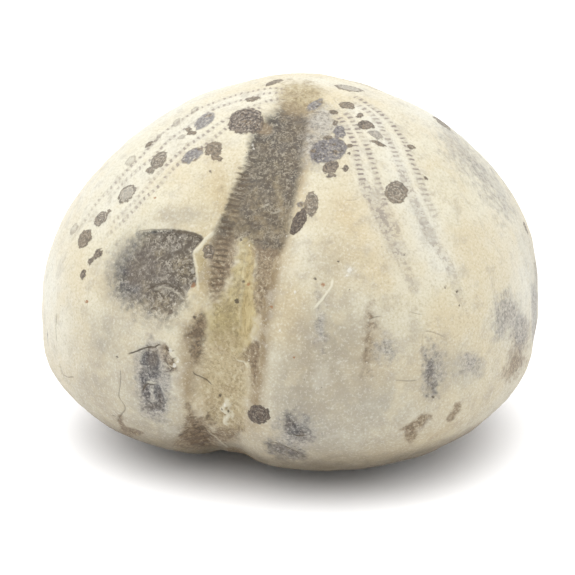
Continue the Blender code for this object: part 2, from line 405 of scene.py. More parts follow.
# Clouds on the hidden sides: azimuth, colatitude, width and height in mm, tilt, strength
FAR_CLOUDS = {
    "grey": (
        (100, 78, 12, 18, 0, 0.4), (150, 92, 16, 9, 10, 0.4), (-165, 100, 14, 10, 0, 0.35),
        (-140, 84, 12, 14, 20, 0.3), (-105, 96, 12, 12, 0, 0.38), (40, 128, 14, 12, 0, 0.35),
        (-40, 128, 12, 12, 0, 0.35), (170, 130, 16, 14, 0, 0.3),
    ),
    "tan": (
        (130, 66, 10, 12, 0, 0.3), (176, 78, 10, 16, 0, 0.35), (-120, 70, 12, 10, 0, 0.3),
        (100, 124, 12, 14, 0, 0.4), (-100, 126, 14, 12, 0, 0.35),
    ),
    "pale": ((-80, 80, 12, 16, 0, 0.3),),
}
# Clouds drawn along a line: points, half width in mm, strength. Combed and loose aren't colours: they say
# where the band is combed and where the rows of pores crumble
TRAILS = {
    "pale": (
        (((352, 100), (385, 140), (408, 190), (430, 240), (452, 290)), 2.6, 0.85),
        (((340, 118), (362, 170), (380, 220), (404, 270)), 2, 0.45),
        (((280, 92), (230, 102), (185, 126), (145, 164), (112, 205), (90, 245)), 2.6, 0.6),
        (((210, 128), (170, 158), (135, 200), (110, 232)), 2.2, 0.35),
    ),
    "grey": (
        (((366, 186), (378, 214), (390, 246), (402, 268)), 1, 0.2),
        (((410, 196), (421, 224), (436, 256)), 1, 0.18),
        (((440, 128), (460, 145), (482, 166), (500, 190), (512, 218)), 1.4, 0.18),
        (((533, 262), (539, 284), (541, 310), (537, 334)), 1.2, 0.65),
        (((512, 225), (524, 256), (532, 300)), 1, 0.14),
    ),
    "tan": (
        (((176, 440), (160, 442), (140, 440)), 0.8, 0.4),
        (((306, 140), (302, 170), (297, 200), (291, 225), (282, 250)), 1, 0.6),
    ),
    "brown": (
        # The next three run down the groove's walls: brown, partly painted shade that deepens the groove
        (((266, 305), (262, 345), (259, 375), (254, 405), (248, 432)), 0.9, 0.95),
        (((256, 340), (254, 360), (254, 385), (250, 410)), 0.6, 0.5),
        (((189, 318), (187, 345), (188, 375), (187, 408)), 1.1, 0.7),
        (((222, 232), (217, 252), (215, 275), (214, 306)), 1.3, 0.85),
        # Down the groove's right wall: brown, partly painted shade
        (((282, 232), (276, 255), (270, 280), (266, 300), (262, 324)), 1.3, 1),
        (((306, 112), (307, 135), (304, 158)), 1.2, 0.8),
        (((306, 136), (304, 158), (300, 178), (297, 196)), 0.7, 0.5),
    ),
    "combed": ((((251, 140), (244, 166), (233, 190), (225, 212), (216, 232)), 1.6, 1),),
    "loose": (
        (((362, 176), (372, 200), (386, 230), (403, 264), (420, 302)), 1.5, 1),
        (((398, 164), (412, 194), (431, 236), (450, 276), (468, 312)), 1.5, 0.9),
        (((388, 204), (396, 226), (402, 246)), 1.3, 0.9),
    ),
}
TINTS = ("grey", "brown", "tan", "pale", "olive", "combed", "loose")
TRAIL_ENDS = (1.5, 2.5)

# Cracks and painted shadow lines by the chip: points, half width in mm, depth in mm, darkness
CRACK_AND_SHADOW_LINES = (
    (((191.3, 370.2), (194.2, 375), (200, 377.8), (206.7, 381.7), (212.4, 387)), 0.1, 0.12, 0.65),
    (((126.3, 354.9), (132, 353), (138.7, 350.6), (145, 348.6), (152.1, 348.2)), 0.12, 0.16, 0.9),
    (((142, 350.2), (147, 347.8), (152, 348.6), (156, 346.2), (160.7, 345.3)), 0.1, 0.25, 0.9),
    (((119, 368.3), (119.6, 383.6), (118.1, 397), (124.4, 408.5), (119.6, 416.1),
     (116.7, 421.9)), 0.1, 0.12, 0.4),
    (((110, 415.2), (116.7, 418)), 0.1, 0.1, 0.5), (((56, 312), (54.5, 329), (56, 346)), 0.1, 0.08, 0.5),
    (((58, 363), (62, 376), (73, 378)), 0.1, 0.08, 0.45),
    (((393, 381), (406, 381.8), (419, 381)), 0.1, 0.1, 0.32),
    (((423, 331), (434, 333.4), (446, 338)), 0.1, 0.08, 0.28),
    (((423, 333), (422, 343), (422, 360)), 0.08, 0.06, 0.12),
    (((342, 199.6), (351, 200.2), (360, 198)), 0.08, 0.05, 0.25),
    (((382, 90), (388, 92), (394, 95)), 0.1, 0.08, 0.6),
    (((267, 443), (283, 448), (300, 457)), 0.1, 0.1, 0.6),
    (((290, 435), (299, 437.5), (307, 437)), 0.12, 0.12, 0.8),
    # Painted shadow above the arc below the chip
    (((145, 290), (150, 286.5), (157, 283.5), (165, 284.6), (176, 290), (184, 296)), 0.13, 0.2, 0.55),
    # The next two: the chip's undercut along its brink, painted shade, partly brown
    (((136, 232), (150, 230.4), (164, 229.8), (178, 230.6)), 0.12, 0.06, 0.45),
    (((168, 230), (185, 231.6), (197, 235.4), (203, 239.5)), 0.2, 0.1, 0.75),
    (((163, 346), (167, 352), (175, 350)), 0.09, 0.18, 0.75),
    (((167, 352), (164, 362), (171, 370), (161, 374)), 0.08, 0.16, 0.55),
    (((177, 357), (171, 361), (176, 367)), 0.08, 0.15, 0.55),
    (((140, 394), (144, 386.5), (150, 385), (157, 385.5)), 0.12, 0.08, 0.7),
    (((366, 321), (374, 318), (383, 316)), 0.1, 0.1, 0.35),
    # The next four: painted shadows under the ledges at the chip's right side
    (((182, 258), (188, 257.5), (193, 259)), 0.14, 0.12, 0.7),
    (((180, 265), (187, 264), (194, 266)), 0.16, 0.14, 0.8),
    (((182, 272.5), (188, 272), (195, 274.5)), 0.14, 0.14, 0.75),
    (((185, 280), (190, 279), (195, 281)), 0.12, 0.12, 0.7),
    (((409, 312), (417, 314.5), (424, 315)), 0.08, 0.05, 0.3),
)
# Cracks on the hidden sides, and how far their points are thrown off their line in mm
FAR_CRACKS = (
    (((98, 76), (104, 83), (102, 92)), 0.11, 0.12, 0.45), (((150, 78), (158, 83), (170, 82)), 0.1, 0.1, 0.4),
    (((-140, 66), (-145, 74), (-143, 80)), 0.1, 0.1, 0.4),
    (((-100, 88), (-108, 94), (-104, 103), (-110, 112)), 0.11, 0.12, 0.45),
    (((130, 112), (138, 120), (136, 131)), 0.12, 0.12, 0.5),
    (((-60, 122), (-72, 126), (-84, 124)), 0.12, 0.12, 0.5),
)
FAR_CRACK_THROW = 0.30
# Raised lines: points, half width in mm, height in mm, lightness
RIDGES = (
    (((247.3, 247), (244.6, 262), (242.9, 278), (241.2, 290), (239.7, 302), (240.5, 330)), 0.2, 0.18, 0.15),
    (((256.5, 248), (255.4, 265), (253, 280)), 0.18, 0.12, 0.2),
    (((184, 274), (190, 269), (195, 268)), 0.16, 0.16, 0.6),
    (((186, 283), (191, 279), (195, 279)), 0.14, 0.14, 0.5),
    (((214.5, 230.5), (206, 238.3), (199, 247), (191.5, 254.7)), 0.2, 0.18, 0.9),
    (((191.5, 254.7), (194.2, 262), (195.4, 272.7), (196.6, 284), (197.6, 292)), 0.16, 0.1, 0.6),
    (((150, 291), (158, 287.5), (166, 289), (176, 295), (183, 301)), 0.13, 0.16, 0.45),
    (((205, 430), (216, 438.5), (228, 448)), 0.14, 0.14, 0.4),
    (((234, 357), (238, 361), (243, 362.5), (249, 369)), 0.12, 0.16, 0.6),
    (((223, 397), (227, 403), (222, 409), (228, 414), (224, 421), (229, 426)), 0.24, 0.3, 0.9),
    (((231, 401), (229, 408), (233, 414), (230, 420)), 0.16, 0.2, 0.6),
    (((260, 206), (269.5, 202)), 0.12, 0.05, 0.6), (((268, 213), (275, 211.5), (282, 208)), 0.12, 0.05, 0.6),
    (((331.8, 277.2), (331, 285), (327.5, 291), (321, 300), (313, 310)), 0.12, 0.07, 1),
    (((367.5, 136.5), (371, 138.2), (375, 141)), 0.12, 0.06, 1),
    (((163, 343), (168, 347), (173, 354), (176, 361)), 0.14, 0.18, 0.7),
    (((160, 363), (167, 366), (176, 368)), 0.12, 0.14, 0.6),
    (((168, 350), (171, 356), (178, 361)), 0.1, 0.12, 0.6),
    (((143, 384), (150, 382.5), (157, 384)), 0.12, 0.1, 0.6),
)
# Small dots by their look: x, y, width
DOTS = {
    "dark": (
        (228.2, 228.7, 3), (253.8, 224.9, 3), (235, 237.5, 3), (239.7, 240.2, 3), (253.5, 240.2, 2.6),
        (256.5, 239.4, 2.6), (242.9, 282.6, 3.2), (236.2, 301.4, 5.4), (193.4, 318.2, 4), (116, 358, 3),
        (152, 309, 4), (168, 313, 6), (314.4, 279.2, 3), (337.7, 261.8, 2.6), (404, 255, 2.6),
        (445, 288, 2.2), (457, 292, 2.8), (459, 306, 2.2), (466, 310, 2), (433, 398, 3.4), (219, 396.5, 3.4),
        (221.6, 409, 2.4), (228, 411, 2.4),
    ),
    "rust": (
        (247.9, 284.9, 4), (270.3, 307.5, 3), (191.5, 285.3, 6), (85, 302, 4), (321.9, 285.1, 4),
        (154, 198, 2.6), (293, 358, 2.4),
    ),
    "pale": (
        (284.6, 236, 2.6), (248.5, 246.3, 2.2), (294, 292.6, 3.2), (305, 236, 2.4), (251.6, 144, 2.6),
        (252.4, 147.6, 2.2), (348.9, 270.5, 5), (346, 276, 3), (225, 404, 2.6), (279, 331, 2.6),
        (172.5, 305, 2.6), (176.5, 362, 3), (169, 351, 5), (173.5, 366, 4), (190, 271, 4.6),
        (192.5, 279, 3.6),
    ),
}
DOT_DEPTHS = {"dark": 0.12, "rust": 0.08, "pale": -0.08}
DOT_SHRINK = 0.85

# How far out from its middle a mark is followed, as a share of its size
SPOT_REACH = 2.5
DOT_REACH = 4.0
CLOUD_REACH = 2.2
PATCH_REACH = 3.0
BROKEN_REACH = 1.4

# How a cloud falls off from its middle, and between what shares of its size it ends
CLOUD_FALL = 1.4
CLOUD_RIM = (2.0, 1.5)

# How deep inside it a point is said to be where a mark is far away
FAR_AWAY = -4.0
# The margin in mm in which a mark's points are looked for, and what an outlined spot is followed to outside
MARK_MARGIN = 0.5
OUTLINE_MARGIN = 1.0
# Cracks and ridges: how far to the side they are followed, in mm and in half widths; their ends' length in mm
# and the most that an end takes of the line; their least half width in mm; the half width the material sees
STROKE_REACH = 1.0
STROKE_REACH_WIDTHS = 2.2
STROKE_END = 0.6
STROKE_END_SHARE = 1.0 / 3.0
LEAST_STROKE = 0.13
LINE_SCALE = 0.10
# An outline in pixels ends where the stone turns away from the camera: at this facing, and this steeply
HORIZON_FACING = 0.03
HORIZON_SLOPE = 12.0
# A mark near the rim is stretched as if it faced the camera by so much at least, and by so much at most
LEAST_FACING = 0.3
MOST_STRETCH = 2.3
# A pixel that misses the stone is moved by this share of its way to the middle until it hits
INWARD_STEP = 0.01

# ---------------------------------------------------------------- relief, in mm
# Lumps: height, offset in the random field, size. All over the stone, then where the name says
LUMPS = ((0.13, 0.0, 5.2), (0.070, 40.0, 2.3), (0.034, 80.0, 1.0), (0.018, 120.0, 0.55))
BAND_FIBRES = ((0.05, 20.0, 0.5),)
BAND_LUMPS = ((0.05, 60.0, 1.1),)
CHIP_LUMPS = ((0.10, 10.0, 1.3), (0.06, 30.0, 0.6))
TONGUE_FIBRES = ((0.07, 90.0, 1.2),)
TONGUE_LUMPS = ((0.03, 50.0, 0.5),)
GROUND_LUMPS = ((1.0, 70.0, 0.8),)
FIBRE_STRETCH = np.array([0.45, 0.45, 1.0])
LUMPS_SEED = 11
CRACKS_SEED = 23
BAND_SINK = 0.30
SCOOP_DEPTH = 0.62
# In mm: how far off its brink the scoop is deepest, the share it loses between two distances, where it fades
SCOOP_BRINK = 0.55
SCOOP_EASE = (0.8, 0.5, 8.0)
SCOOP_FADE = 2.4
TONGUE_RISE = 0.10
SPOT_RISE = 0.07
RIPPLE_RISE = 0.022
PORE_DEPTH = 0.05
# How flat the dashes of pores and of the comb are across their row, and how narrow dashes are along it
DASH_FLATNESS = (2, 4)
DASH_POWER = 1.5
# Where the relief begins and is full, by the depth inside a region or a mark
BAND_SPAN = (-1.0, 1.5)
CHIP_SPAN = (-0.5, 1.0)
TONGUE_SPAN = (-0.5, 0.5)
GROUND_SPAN = (-1.0, 1.5)
SPOT_SPAN = (-0.10, 0.12)
DOT_SPAN = (-0.15, 0.15)
BROKEN_SPAN = (1.2, 0.7)
# How far each ground lies below the surface, and how rough it is
GROUND_RELIEF = {"brown": (0.07, 0.05), "grey": (0.05, 0.03), "purple": (0.12, 0.08), "dark": (0.22, 0.08),
                 "clay": (0.05, 0.16)}
# Broken ground: x, y, width, height, tilt; size of its steps and their height
BROKEN_GROUND = (
    ((167, 358, 26, 34, 0), 0.9, 0.16),
    ((227, 410, 12, 34, -4), 0.5, 0.12),
    ((200, 384, 44, 40, 0), 1.6, 0.10),
    ((190, 276, 14, 30, 0), 0.8, 0.14),
)
STEPS_IN_RISE = 2.5
BROKEN_SHIFT = 15.0

# ---------------------------------------------------------------- setting
FLOOR_HALF = 1500.0
FLOOR_COLOUR = (0.96, 0.96, 0.97)
FLOOR_ROUGHNESS = 0.9
FLOOR_SPECULAR = 0.1
ROOM_COLOUR = (1.0, 1.0, 1.0)
ROOM_STRENGTH = 1.52
# The room is darker on the camera's side: its strength there, and between which facings it changes
FRONT_STRENGTH = 0.80
FRONT_SPAN = (0.0, 0.9)
BACKDROP_STRENGTH = 1.12
# The light overhead: its place, its width in mm and its watts
OVERHEAD_PLACE = (-20.0, -120.0, 420.0)
OVERHEAD_WIDTH = 900.0
OVERHEAD_WATTS = 2.95


def smoothstep(low, high, value):
    share = np.clip((value - low) / (high - low), 0.0, 1.0)
    return share * share * (3.0 - 2.0 * share)


def mix(first, second, share):
    return first + (second - first) * share


def wrapped(degrees):
    return (degrees + 180.0) % 360.0 - 180.0


def unit(vectors):
    return vectors / np.linalg.norm(vectors, axis=-1, keepdims=True)


def camera_axes():
    """The camera's right, its up, and the direction from the object back to it."""
    turn, lift = math.radians(CAMERA_AZIMUTH), math.radians(CAMERA_ELEVATION)
    right = np.array([math.cos(turn), math.sin(turn), 0.0])
    back = np.array([math.sin(turn) * math.cos(lift), -math.cos(turn) * math.cos(lift), math.sin(lift)])
    return right, np.cross(back, right), back


RIGHT, UP, BACK = camera_axes()
LENS_MM = SENSOR_MM * CAMERA_DISTANCE / (PHOTO_SIDE * PIXEL_MM)
AIM_SHIFT = ((AIM_PIXEL[0] - PHOTO_SIDE / 2) * PIXEL_MM, (PHOTO_SIDE / 2 - AIM_PIXEL[1]) * PIXEL_MM)
CAMERA_TARGET = AIM_POINT - RIGHT * AIM_SHIFT[0] - UP * AIM_SHIFT[1]
CAMERA_PLACE = CAMERA_TARGET + BACK * CAMERA_DISTANCE


def to_pixels(points):
    """Where points fall in the photograph's frame."""
    seen = points - CAMERA_PLACE
    depth = -(seen @ BACK)
    reach = CAMERA_DISTANCE / PIXEL_MM / depth
    return np.stack([PHOTO_SIDE / 2 + seen @ RIGHT * reach, PHOTO_SIDE / 2 - seen @ UP * reach], -1)


def sight_line(pixel):
    """The direction from the camera through a pixel."""
    across = (pixel[0] - PHOTO_SIDE / 2) * PIXEL_MM
    upward = (PHOTO_SIDE / 2 - pixel[1]) * PIXEL_MM
    return unit(RIGHT * across + UP * upward - BACK * CAMERA_DISTANCE)


# ---------------------------------------------------------------- the form
def geodesic_sphere():
    """A sphere of even triangles, drawn together towards the side that the camera sees."""
    mesh = bmesh.new()
    bmesh.ops.create_icosphere(mesh, subdivisions=1, radius=1.0)
    bmesh.ops.subdivide_edges(mesh, edges=mesh.edges, cuts=SPHERE_CUTS, use_grid_fill=True)
    bmesh.ops.triangulate(mesh, faces=mesh.faces)
    directions, faces = mesh_arrays(mesh)
    mesh.free()
    along = directions @ BACK
    across = directions - np.outer(along, BACK)
    half = np.arccos(np.clip(along, -1.0, 1.0)) / 2.0
    turned = 2.0 * np.arctan(np.tan(np.minimum(half, ALMOST_QUARTER_TURN)) / FRONT_CROWDING)
    length = np.maximum(np.linalg.norm(across, axis=1, keepdims=True), 1e-9)
    return unit(np.outer(np.cos(turned), BACK) + across / length * np.sin(turned)[:, None]), faces


def mesh_arrays(mesh):
    mesh.verts.index_update()
    directions = unit(np.array([vertex.co for vertex in mesh.verts]))
    return directions, np.array([[vertex.index for vertex in face.verts] for face in mesh.faces])


def refined_sphere(directions, faces, wanted):
    """The same sphere with each wanted triangle cut in four, as many as the triangle limit allows."""
    room = (MOST_TRIANGLES - len(faces)) // 4
    chosen = np.argsort(-wanted, kind="stable")[:room]
    chosen = chosen[wanted[chosen] > 0.0]
    mesh = bmesh.new()
    vertices = [mesh.verts.new(place) for place in directions.tolist()]
    made = [mesh.faces.new([vertices[corner] for corner in face]) for face in faces.tolist()]
    edges = list({edge for index in chosen.tolist() for edge in made[index].edges})
    bmesh.ops.subdivide_edges(mesh, edges=edges, cuts=1, use_grid_fill=True)
    bmesh.ops.triangulate(mesh, faces=[face for face in mesh.faces if len(face.verts) > 3])
    result = mesh_arrays(mesh)
    mesh.free()
    return result


def angles_of(directions):
    azimuth = np.degrees(np.arctan2(directions[:, 0], -directions[:, 1]))
    return azimuth, np.degrees(np.arccos(np.clip(directions[:, 2], -1.0, 1.0)))


def ray_azimuth(azimuth, colatitude):
    """Azimuth from the middle of the front ray, which twists as it goes down."""
    return wrapped(azimuth - TWIST_AT_SUMMIT - TWIST_PER_DEGREE * colatitude)


def outline_radius(azimuth):
    angle = np.radians(azimuth)
    share = 1.0 + sum(size * np.cos(count * angle) for count, size in OUTLINE_WAVES)
    behind = wrapped(azimuth - 180.0) / TRUNCATION_SPREAD
    return MEAN_RADIUS * (share + TRUNCATION_SHARE * np.exp(-behind ** 2))


def bare_form(directions):
    """The form before the groove, measured from the middle of the widest belt."""
    azimuth, _ = angles_of(directions)
    exponent = mix(BELLY_EXPONENT, DOME_EXPONENT, smoothstep(*EXPONENT_BLEND, directions[:, 2]))
    rise = mix(BELLY_DROP, DOME_RISE, smoothstep(*HEIGHT_BLEND, directions[:, 2]))
    across = np.hypot(directions[:, 0], directions[:, 1]) / outline_radius(azimuth)
    upward = np.abs(directions[:, 2]) / rise
    points = directions * ((across ** exponent + upward ** exponent) ** (-1.0 / exponent))[:, None]
    return points + np.outer(points[:, 2] / DOME_RISE, SUMMIT_SHIFT)


def groove_depth(points, azimuth, colatitude):
    depth = np.zeros(len(points))
    half_width = np.full(len(points), GROOVE_STATIONS[0][2])
    for above, below in zip(GROOVE_STATIONS, GROOVE_STATIONS[1:]):
        part = (colatitude > above[0]) & (colatitude <= below[0])
        share = smoothstep(above[0], below[0], colatitude[part])
        depth[part] = mix(above[1], below[1], share)
        half_width[part] = mix(above[2], below[2], share)
    off_middle = ray_azimuth(azimuth, colatitude)
    offset = np.hypot(points[:, 0], points[:, 1]) * np.sin(np.radians(off_middle))
    return np.where(np.abs(off_middle) > 90.0, 0.0, depth / (1.0 + (offset / half_width) ** 4))


def petal_depth(points, azimuth, colatitude):
    start, full, fading, end = PETAL_SPAN
    strength = smoothstep(start, full, colatitude) * (1.0 - smoothstep(fading, end, colatitude))
    total = np.zeros(len(points))
    for petal in PETAL_AZIMUTHS:
        off_middle = np.radians(wrapped(ray_azimuth(azimuth, colatitude) - petal))
        offset = np.hypot(points[:, 0], points[:, 1]) * off_middle / PETAL_HALF_WIDTH
        total += PETAL_SINK * strength * np.exp(-offset * offset)
    return total


def pit_depth(points, azimuth, colatitude, pit):
    pit_azimuth, pit_colatitude, half_across, half_along, depth = pit
    across = np.hypot(points[:, 0], points[:, 1]) * np.radians(wrapped(azimuth - pit_azimuth)) / half_across
    along = np.linalg.norm(points, axis=1) * np.radians(colatitude - pit_colatitude) / half_along
    return depth * np.exp(-across * across - along * along)


def urchin_form(directions):
    """The stone's form as the CAD has it, centred on its footprint."""
    azimuth, colatitude = angles_of(directions)
    points = bare_form(directions)
    sink = groove_depth(points, azimuth, colatitude) + petal_depth(points, azimuth, colatitude)
    sink += sum(pit_depth(points, azimuth, colatitude, pit) for pit in PITS)
    sink -= sum(height * np.sin(directions @ np.array(wave)) for wave, height in SWELLS)
    points = points - directions * sink[:, None]
    points[:, 2] += AMBITUS_HEIGHT
    middle = (points.min(0) + points.max(0)) / 2.0
    return points - np.array([middle[0], middle[1], 0.0])


def vertex_normals(points, faces):
    corner = points[faces]
    flat = np.cross(corner[:, 1] - corner[:, 0], corner[:, 2] - corner[:, 0])
    normals = np.zeros_like(points)
    for side in range(3):
        np.add.at(normals, faces[:, side], flat)
    return unit(normals)


class Surface:
    """The smooth form's points, and the places on it that pixels and angles name."""

    def __init__(self, directions, faces):
        self.points = urchin_form(directions)
        self.normals = vertex_normals(self.points, faces)
        self.pixels = to_pixels(self.points)
        self.facing = np.einsum("ij,ij->i", self.normals, unit(CAMERA_PLACE - self.points))
        self.tree = BVHTree.FromPolygons(self.points.tolist(), faces.tolist())

    def at_pixel(self, pixel):
        """Where the line of sight through a pixel meets the stone, drawn inward until it does."""
        aim = np.array(pixel, dtype=float)
        hit = None
        while hit is None:
            hit, normal, _, _ = self.tree.ray_cast(Vector(CAMERA_PLACE), Vector(sight_line(aim)))
            aim += (np.array(AIM_PIXEL) - aim) * INWARD_STEP
        return np.array(hit), np.array(normal)

    def at_angles(self, angles):
        """Where the line from the middle of the belt, at an azimuth and a colatitude, leaves the stone."""
        turn, drop = np.radians(angles[0]), np.radians(angles[1])
        across = math.sin(drop)
        outward = np.array([math.sin(turn) * across, -math.cos(turn) * across, math.cos(drop)])
        start = outward * CAMERA_DISTANCE + (0.0, 0.0, AMBITUS_HEIGHT)
        hit, normal, _, _ = self.tree.ray_cast(Vector(start), Vector(-outward))
        return np.array(hit), np.array(normal)

    def pixel_mark(self, x, y, width, height, tilt):
        """A mark that looks like an upright ellipse, turned by its tilt, from the camera."""
        centre, normal = self.at_pixel((x, y))
        across, upward = half_axes(RIGHT, UP, width * PIXEL_MM, height * PIXEL_MM, tilt)
        return Mark(centre, laid_down(across, normal), laid_down(upward, normal))

    def angle_mark(self, azimuth, colatitude, width, height, tilt):
        centre, normal = self.at_angles((azimuth, colatitude))
        turn = math.radians(azimuth)
        east = np.array([math.cos(turn), math.sin(turn), 0.0])
        east = unit(east - normal * (east @ normal))
        return Mark(centre, *half_axes(east, np.cross(normal, east), width, height, tilt))

    def pixel_line(self, waypoints):
        return np.array([self.at_pixel(place)[0] for place in smooth_line(waypoints)])

    def angle_line(self, waypoints):
        return np.array([self.at_angles(place)[0] for place in smooth_line(waypoints)])

    def within(self, outline):
        """How far inside an outline in pixels each point is, in mm. Points behind the horizon are outside."""
        corners = smooth_loop(outline)
        inside = inside_outline(self.pixels, corners)
        distance = line_distance(self.pixels, corners, True)
        horizon = (self.facing - HORIZON_FACING) * HORIZON_SLOPE
        return np.minimum(np.where(inside, distance, -distance) * PIXEL_MM, horizon)

    def beside(self, line, reach):
        """The points within reach of a line, with how far along it and how far to its side they lie."""
        boxed = np.all((self.points > line.min(0) - reach) & (self.points < line.max(0) + reach), axis=1)
        near = np.flatnonzero(boxed)
        nearest = np.full(len(near), np.inf)
        along = np.zeros(len(near))
        side = np.zeros(len(near))
        passed = 0.0
        for first, second in zip(line, line[1:]):
            step = second - first
            length = np.linalg.norm(step)
            share = np.clip((self.points[near] - first) @ step / length ** 2, 0.0, 1.0)
            offset = self.points[near] - first - np.outer(share, step)
            distance = np.linalg.norm(offset, axis=1)
            leftward = np.einsum("ij,ij->i", offset, np.cross(self.normals[near], step))
            closer = distance < nearest
            nearest[closer] = distance[closer]
            along[closer] = passed + share[closer] * length
            side[closer] = (distance * np.sign(leftward))[closer]
            passed += length
        kept = nearest < reach
        return near[kept], along[kept], side[kept], passed


class Mark:
    """A flat ellipse laid on the stone by its centre and its two half axes."""

    def __init__(self, centre, across, upward):
        self.centre = centre
        self.size = math.sqrt(np.linalg.norm(across) * np.linalg.norm(upward))
        self.longest = max(np.linalg.norm(across), np.linalg.norm(upward))
        self.plane = np.linalg.pinv(np.stack([across, upward], axis=1))

    def shares(self, points, reach):
        """Points near the mark, and how far out each is, where 1 is the rim."""
        offset = points - self.centre
        near = np.flatnonzero(np.linalg.norm(offset, axis=1) < self.longest * reach + MARK_MARGIN)
        return near, np.linalg.norm(offset[near] @ self.plane.T, axis=1)


def half_axes(right, up, width, height, tilt):
    """An ellipse's two half axes in the plane of right and up, turned by its tilt."""
    turn = math.radians(tilt)
    across = (right * math.cos(turn) + up * math.sin(turn)) * width / 2.0
    return across, (up * math.cos(turn) - right * math.sin(turn)) * height / 2.0


def laid_down(axis, normal):
    """The vector along the stone that looks like this axis from the camera, with its stretch limited."""
    slid = axis - BACK * (axis @ normal) / max(BACK @ normal, LEAST_FACING)
    slid -= normal * (slid @ normal)
    return slid / max(1.0, np.linalg.norm(slid) / np.linalg.norm(axis) / MOST_STRETCH)


def smooth_line(waypoints, steps=4):
    """A Catmull-Rom curve through the waypoints."""
    places = np.array(waypoints, dtype=float)
    if len(places) == 2:
        return np.linspace(places[0], places[1], steps + 1)
    padded = np.concatenate([[2 * places[0] - places[1]], places, [2 * places[-1] - places[-2]]])
    curve = [catmull_rom(*padded[start:start + 4], step / steps)
             for start in range(len(places) - 1) for step in range(steps)]
    return np.array(curve + [places[-1]])


def smooth_loop(waypoints, steps=3):
    places = np.array(waypoints, dtype=float)
    padded = np.concatenate([places[-1:], places, places[:2]])
    return np.array([catmull_rom(*padded[start:start + 4], step / steps)
                     for start in range(len(places)) for step in range(steps)])


def catmull_rom(before, first, second, after, share):
    return first + 0.5 * share * (second - before + share * (
        2 * before - 5 * first + 4 * second - after + share * (3 * (first - second) + after - before)))


def inside_outline(pixels, corners):
    inside = np.zeros(len(pixels), dtype=bool)
    for first, second in zip(corners, np.roll(corners, -1, axis=0)):
        if first[1] != second[1]:
            spans = (first[1] > pixels[:, 1]) != (second[1] > pixels[:, 1])
            crossing = first[0] + (second[0] - first[0]) * (pixels[:, 1] - first[1]) / (second[1] - first[1])
            inside ^= spans & (pixels[:, 0] < crossing)
    return inside


def line_distance(pixels, corners, closed=False):
    ends = np.roll(corners, -1, axis=0) if closed else corners[1:]
    distance = np.full(len(pixels), np.inf)
    for first, second in zip(corners, ends):
        step = second - first
        share = np.clip((pixels - first) @ step / (step @ step), 0.0, 1.0)
        distance = np.minimum(distance, np.linalg.norm(pixels - first - np.outer(share, step), axis=1))
    return distance


class Lumps:
    """Smooth random lumps that fill space."""
    CORNERS = [(x, y, z) for x in (0, 1) for y in (0, 1) for z in (0, 1)]
    STEPS = np.array([73856093, 19349663, 83492791])
    VALUES = 4096

    def __init__(self, seed):
        self.values = np.random.default_rng(seed).uniform(-1.0, 1.0, self.VALUES)

    def at(self, points, size):
        place = points / size
        cell = np.floor(place).astype(np.int64)
        share = place - cell
        share = share ** 3 * (share * (share * 6.0 - 15.0) + 10.0)
        total = np.zeros(len(points))
        for corner in self.CORNERS:
            weight = np.prod(np.where(corner, share, 1.0 - share), axis=1)
            hashed = np.bitwise_xor.reduce((cell + corner) * self.STEPS, axis=1)
            total += weight * self.values[hashed % self.VALUES]
        return total

    def layered(self, points, layers):
        """Lumps of several sizes together: for each layer its height, its offset and its size."""
        return sum(rise * self.at(points + shift, size) for rise, shift, size in layers)


# ---------------------------------------------------------------- fields: what each point of the mesh carries
def stronger(values, near, fresh):
    values[near] = np.maximum(values[near], fresh)


def thickened(values, near, blend):
    values[near] = 1.0 - (1.0 - values[near]) * (1.0 - blend)


def tapered(along, length, start, end):
    """Nought at both ends of a line, and 1 from start on and up to end from its far end."""
    return smoothstep(0.0, start, along) * (1.0 - smoothstep(length - end, length, along))


def laid_marks(surface, seen, hidden):
    """The marks of two tables laid on the stone: one is placed by pixels, the other by angles."""
    for lay, table in ((surface.pixel_mark, seen), (surface.angle_mark, hidden)):
        for name, rows in table.items():
            for row in rows:
                yield lay(*row[:5]), name, *row[5:]


def spot_fields(surface):
    """Distance inside the nearest spot's rim, distance from its middle, and its looks."""
    laid = []
    for mark, look in laid_marks(surface, SPOTS, FAR_SPOTS):
        near, share = mark.shares(surface.points, SPOT_REACH)
        laid.append((near, (1.0 - share) * mark.size, share * mark.size, look))
    for look, outline in SPOT_OUTLINES.items():
        depth = surface.within(outline)
        near = np.flatnonzero(depth > -OUTLINE_MARGIN)
        laid.append((near, depth[near], depth.max() - depth[near], look))
    inside = np.full(len(surface.points), FAR_AWAY)
    radius = np.zeros(len(inside))
    looks = np.zeros((len(inside), 4))
    for near, depth, reached, look in laid:
        closer = depth > inside[near]
        inside[near[closer]] = depth[closer]
        radius[near[closer]] = reached[closer]
        looks[near[closer]] = SPOT_LOOKS[look]
    return inside, radius, looks


def dot_fields(surface):
    fields = {look: np.full(len(surface.points), FAR_AWAY) for look in DOT_DEPTHS}
    for look, dots in DOTS.items():
        for x, y, width in dots:
            mark = surface.pixel_mark(x, y, width * DOT_SHRINK, width * DOT_SHRINK, 0)
            near, share = mark.shares(surface.points, DOT_REACH)
            stronger(fields[look], near, (1.0 - share) * mark.size)
    return fields


def pore_rows(surface):
    rows = [(surface.pixel_line(places), *look) for places, *look in PORE_ROWS]
    for petal in FAR_PETALS:
        for offset in FAR_ROW_OFFSETS:
            rows.append((surface.angle_line(far_row(petal, offset)), *FAR_ROW_LOOK))
    return rows


def far_row(petal, offset):
    """A row of the hidden petals in azimuth and colatitude, spread like the rows that can be seen."""
    colatitudes = np.linspace(*FAR_ROW_SPAN, FAR_ROW_POINTS)
    spread = np.sin(np.radians(np.interp(colatitudes, FAR_ROW_SPAN, FAR_ROW_SPREAD)))
    ray = petal + np.degrees(offset * spread / (MEAN_RADIUS * np.sin(np.radians(colatitudes))))
    azimuths = ray + TWIST_AT_SUMMIT + TWIST_PER_DEGREE * colatitudes
    return np.stack([azimuths, colatitudes], axis=1)


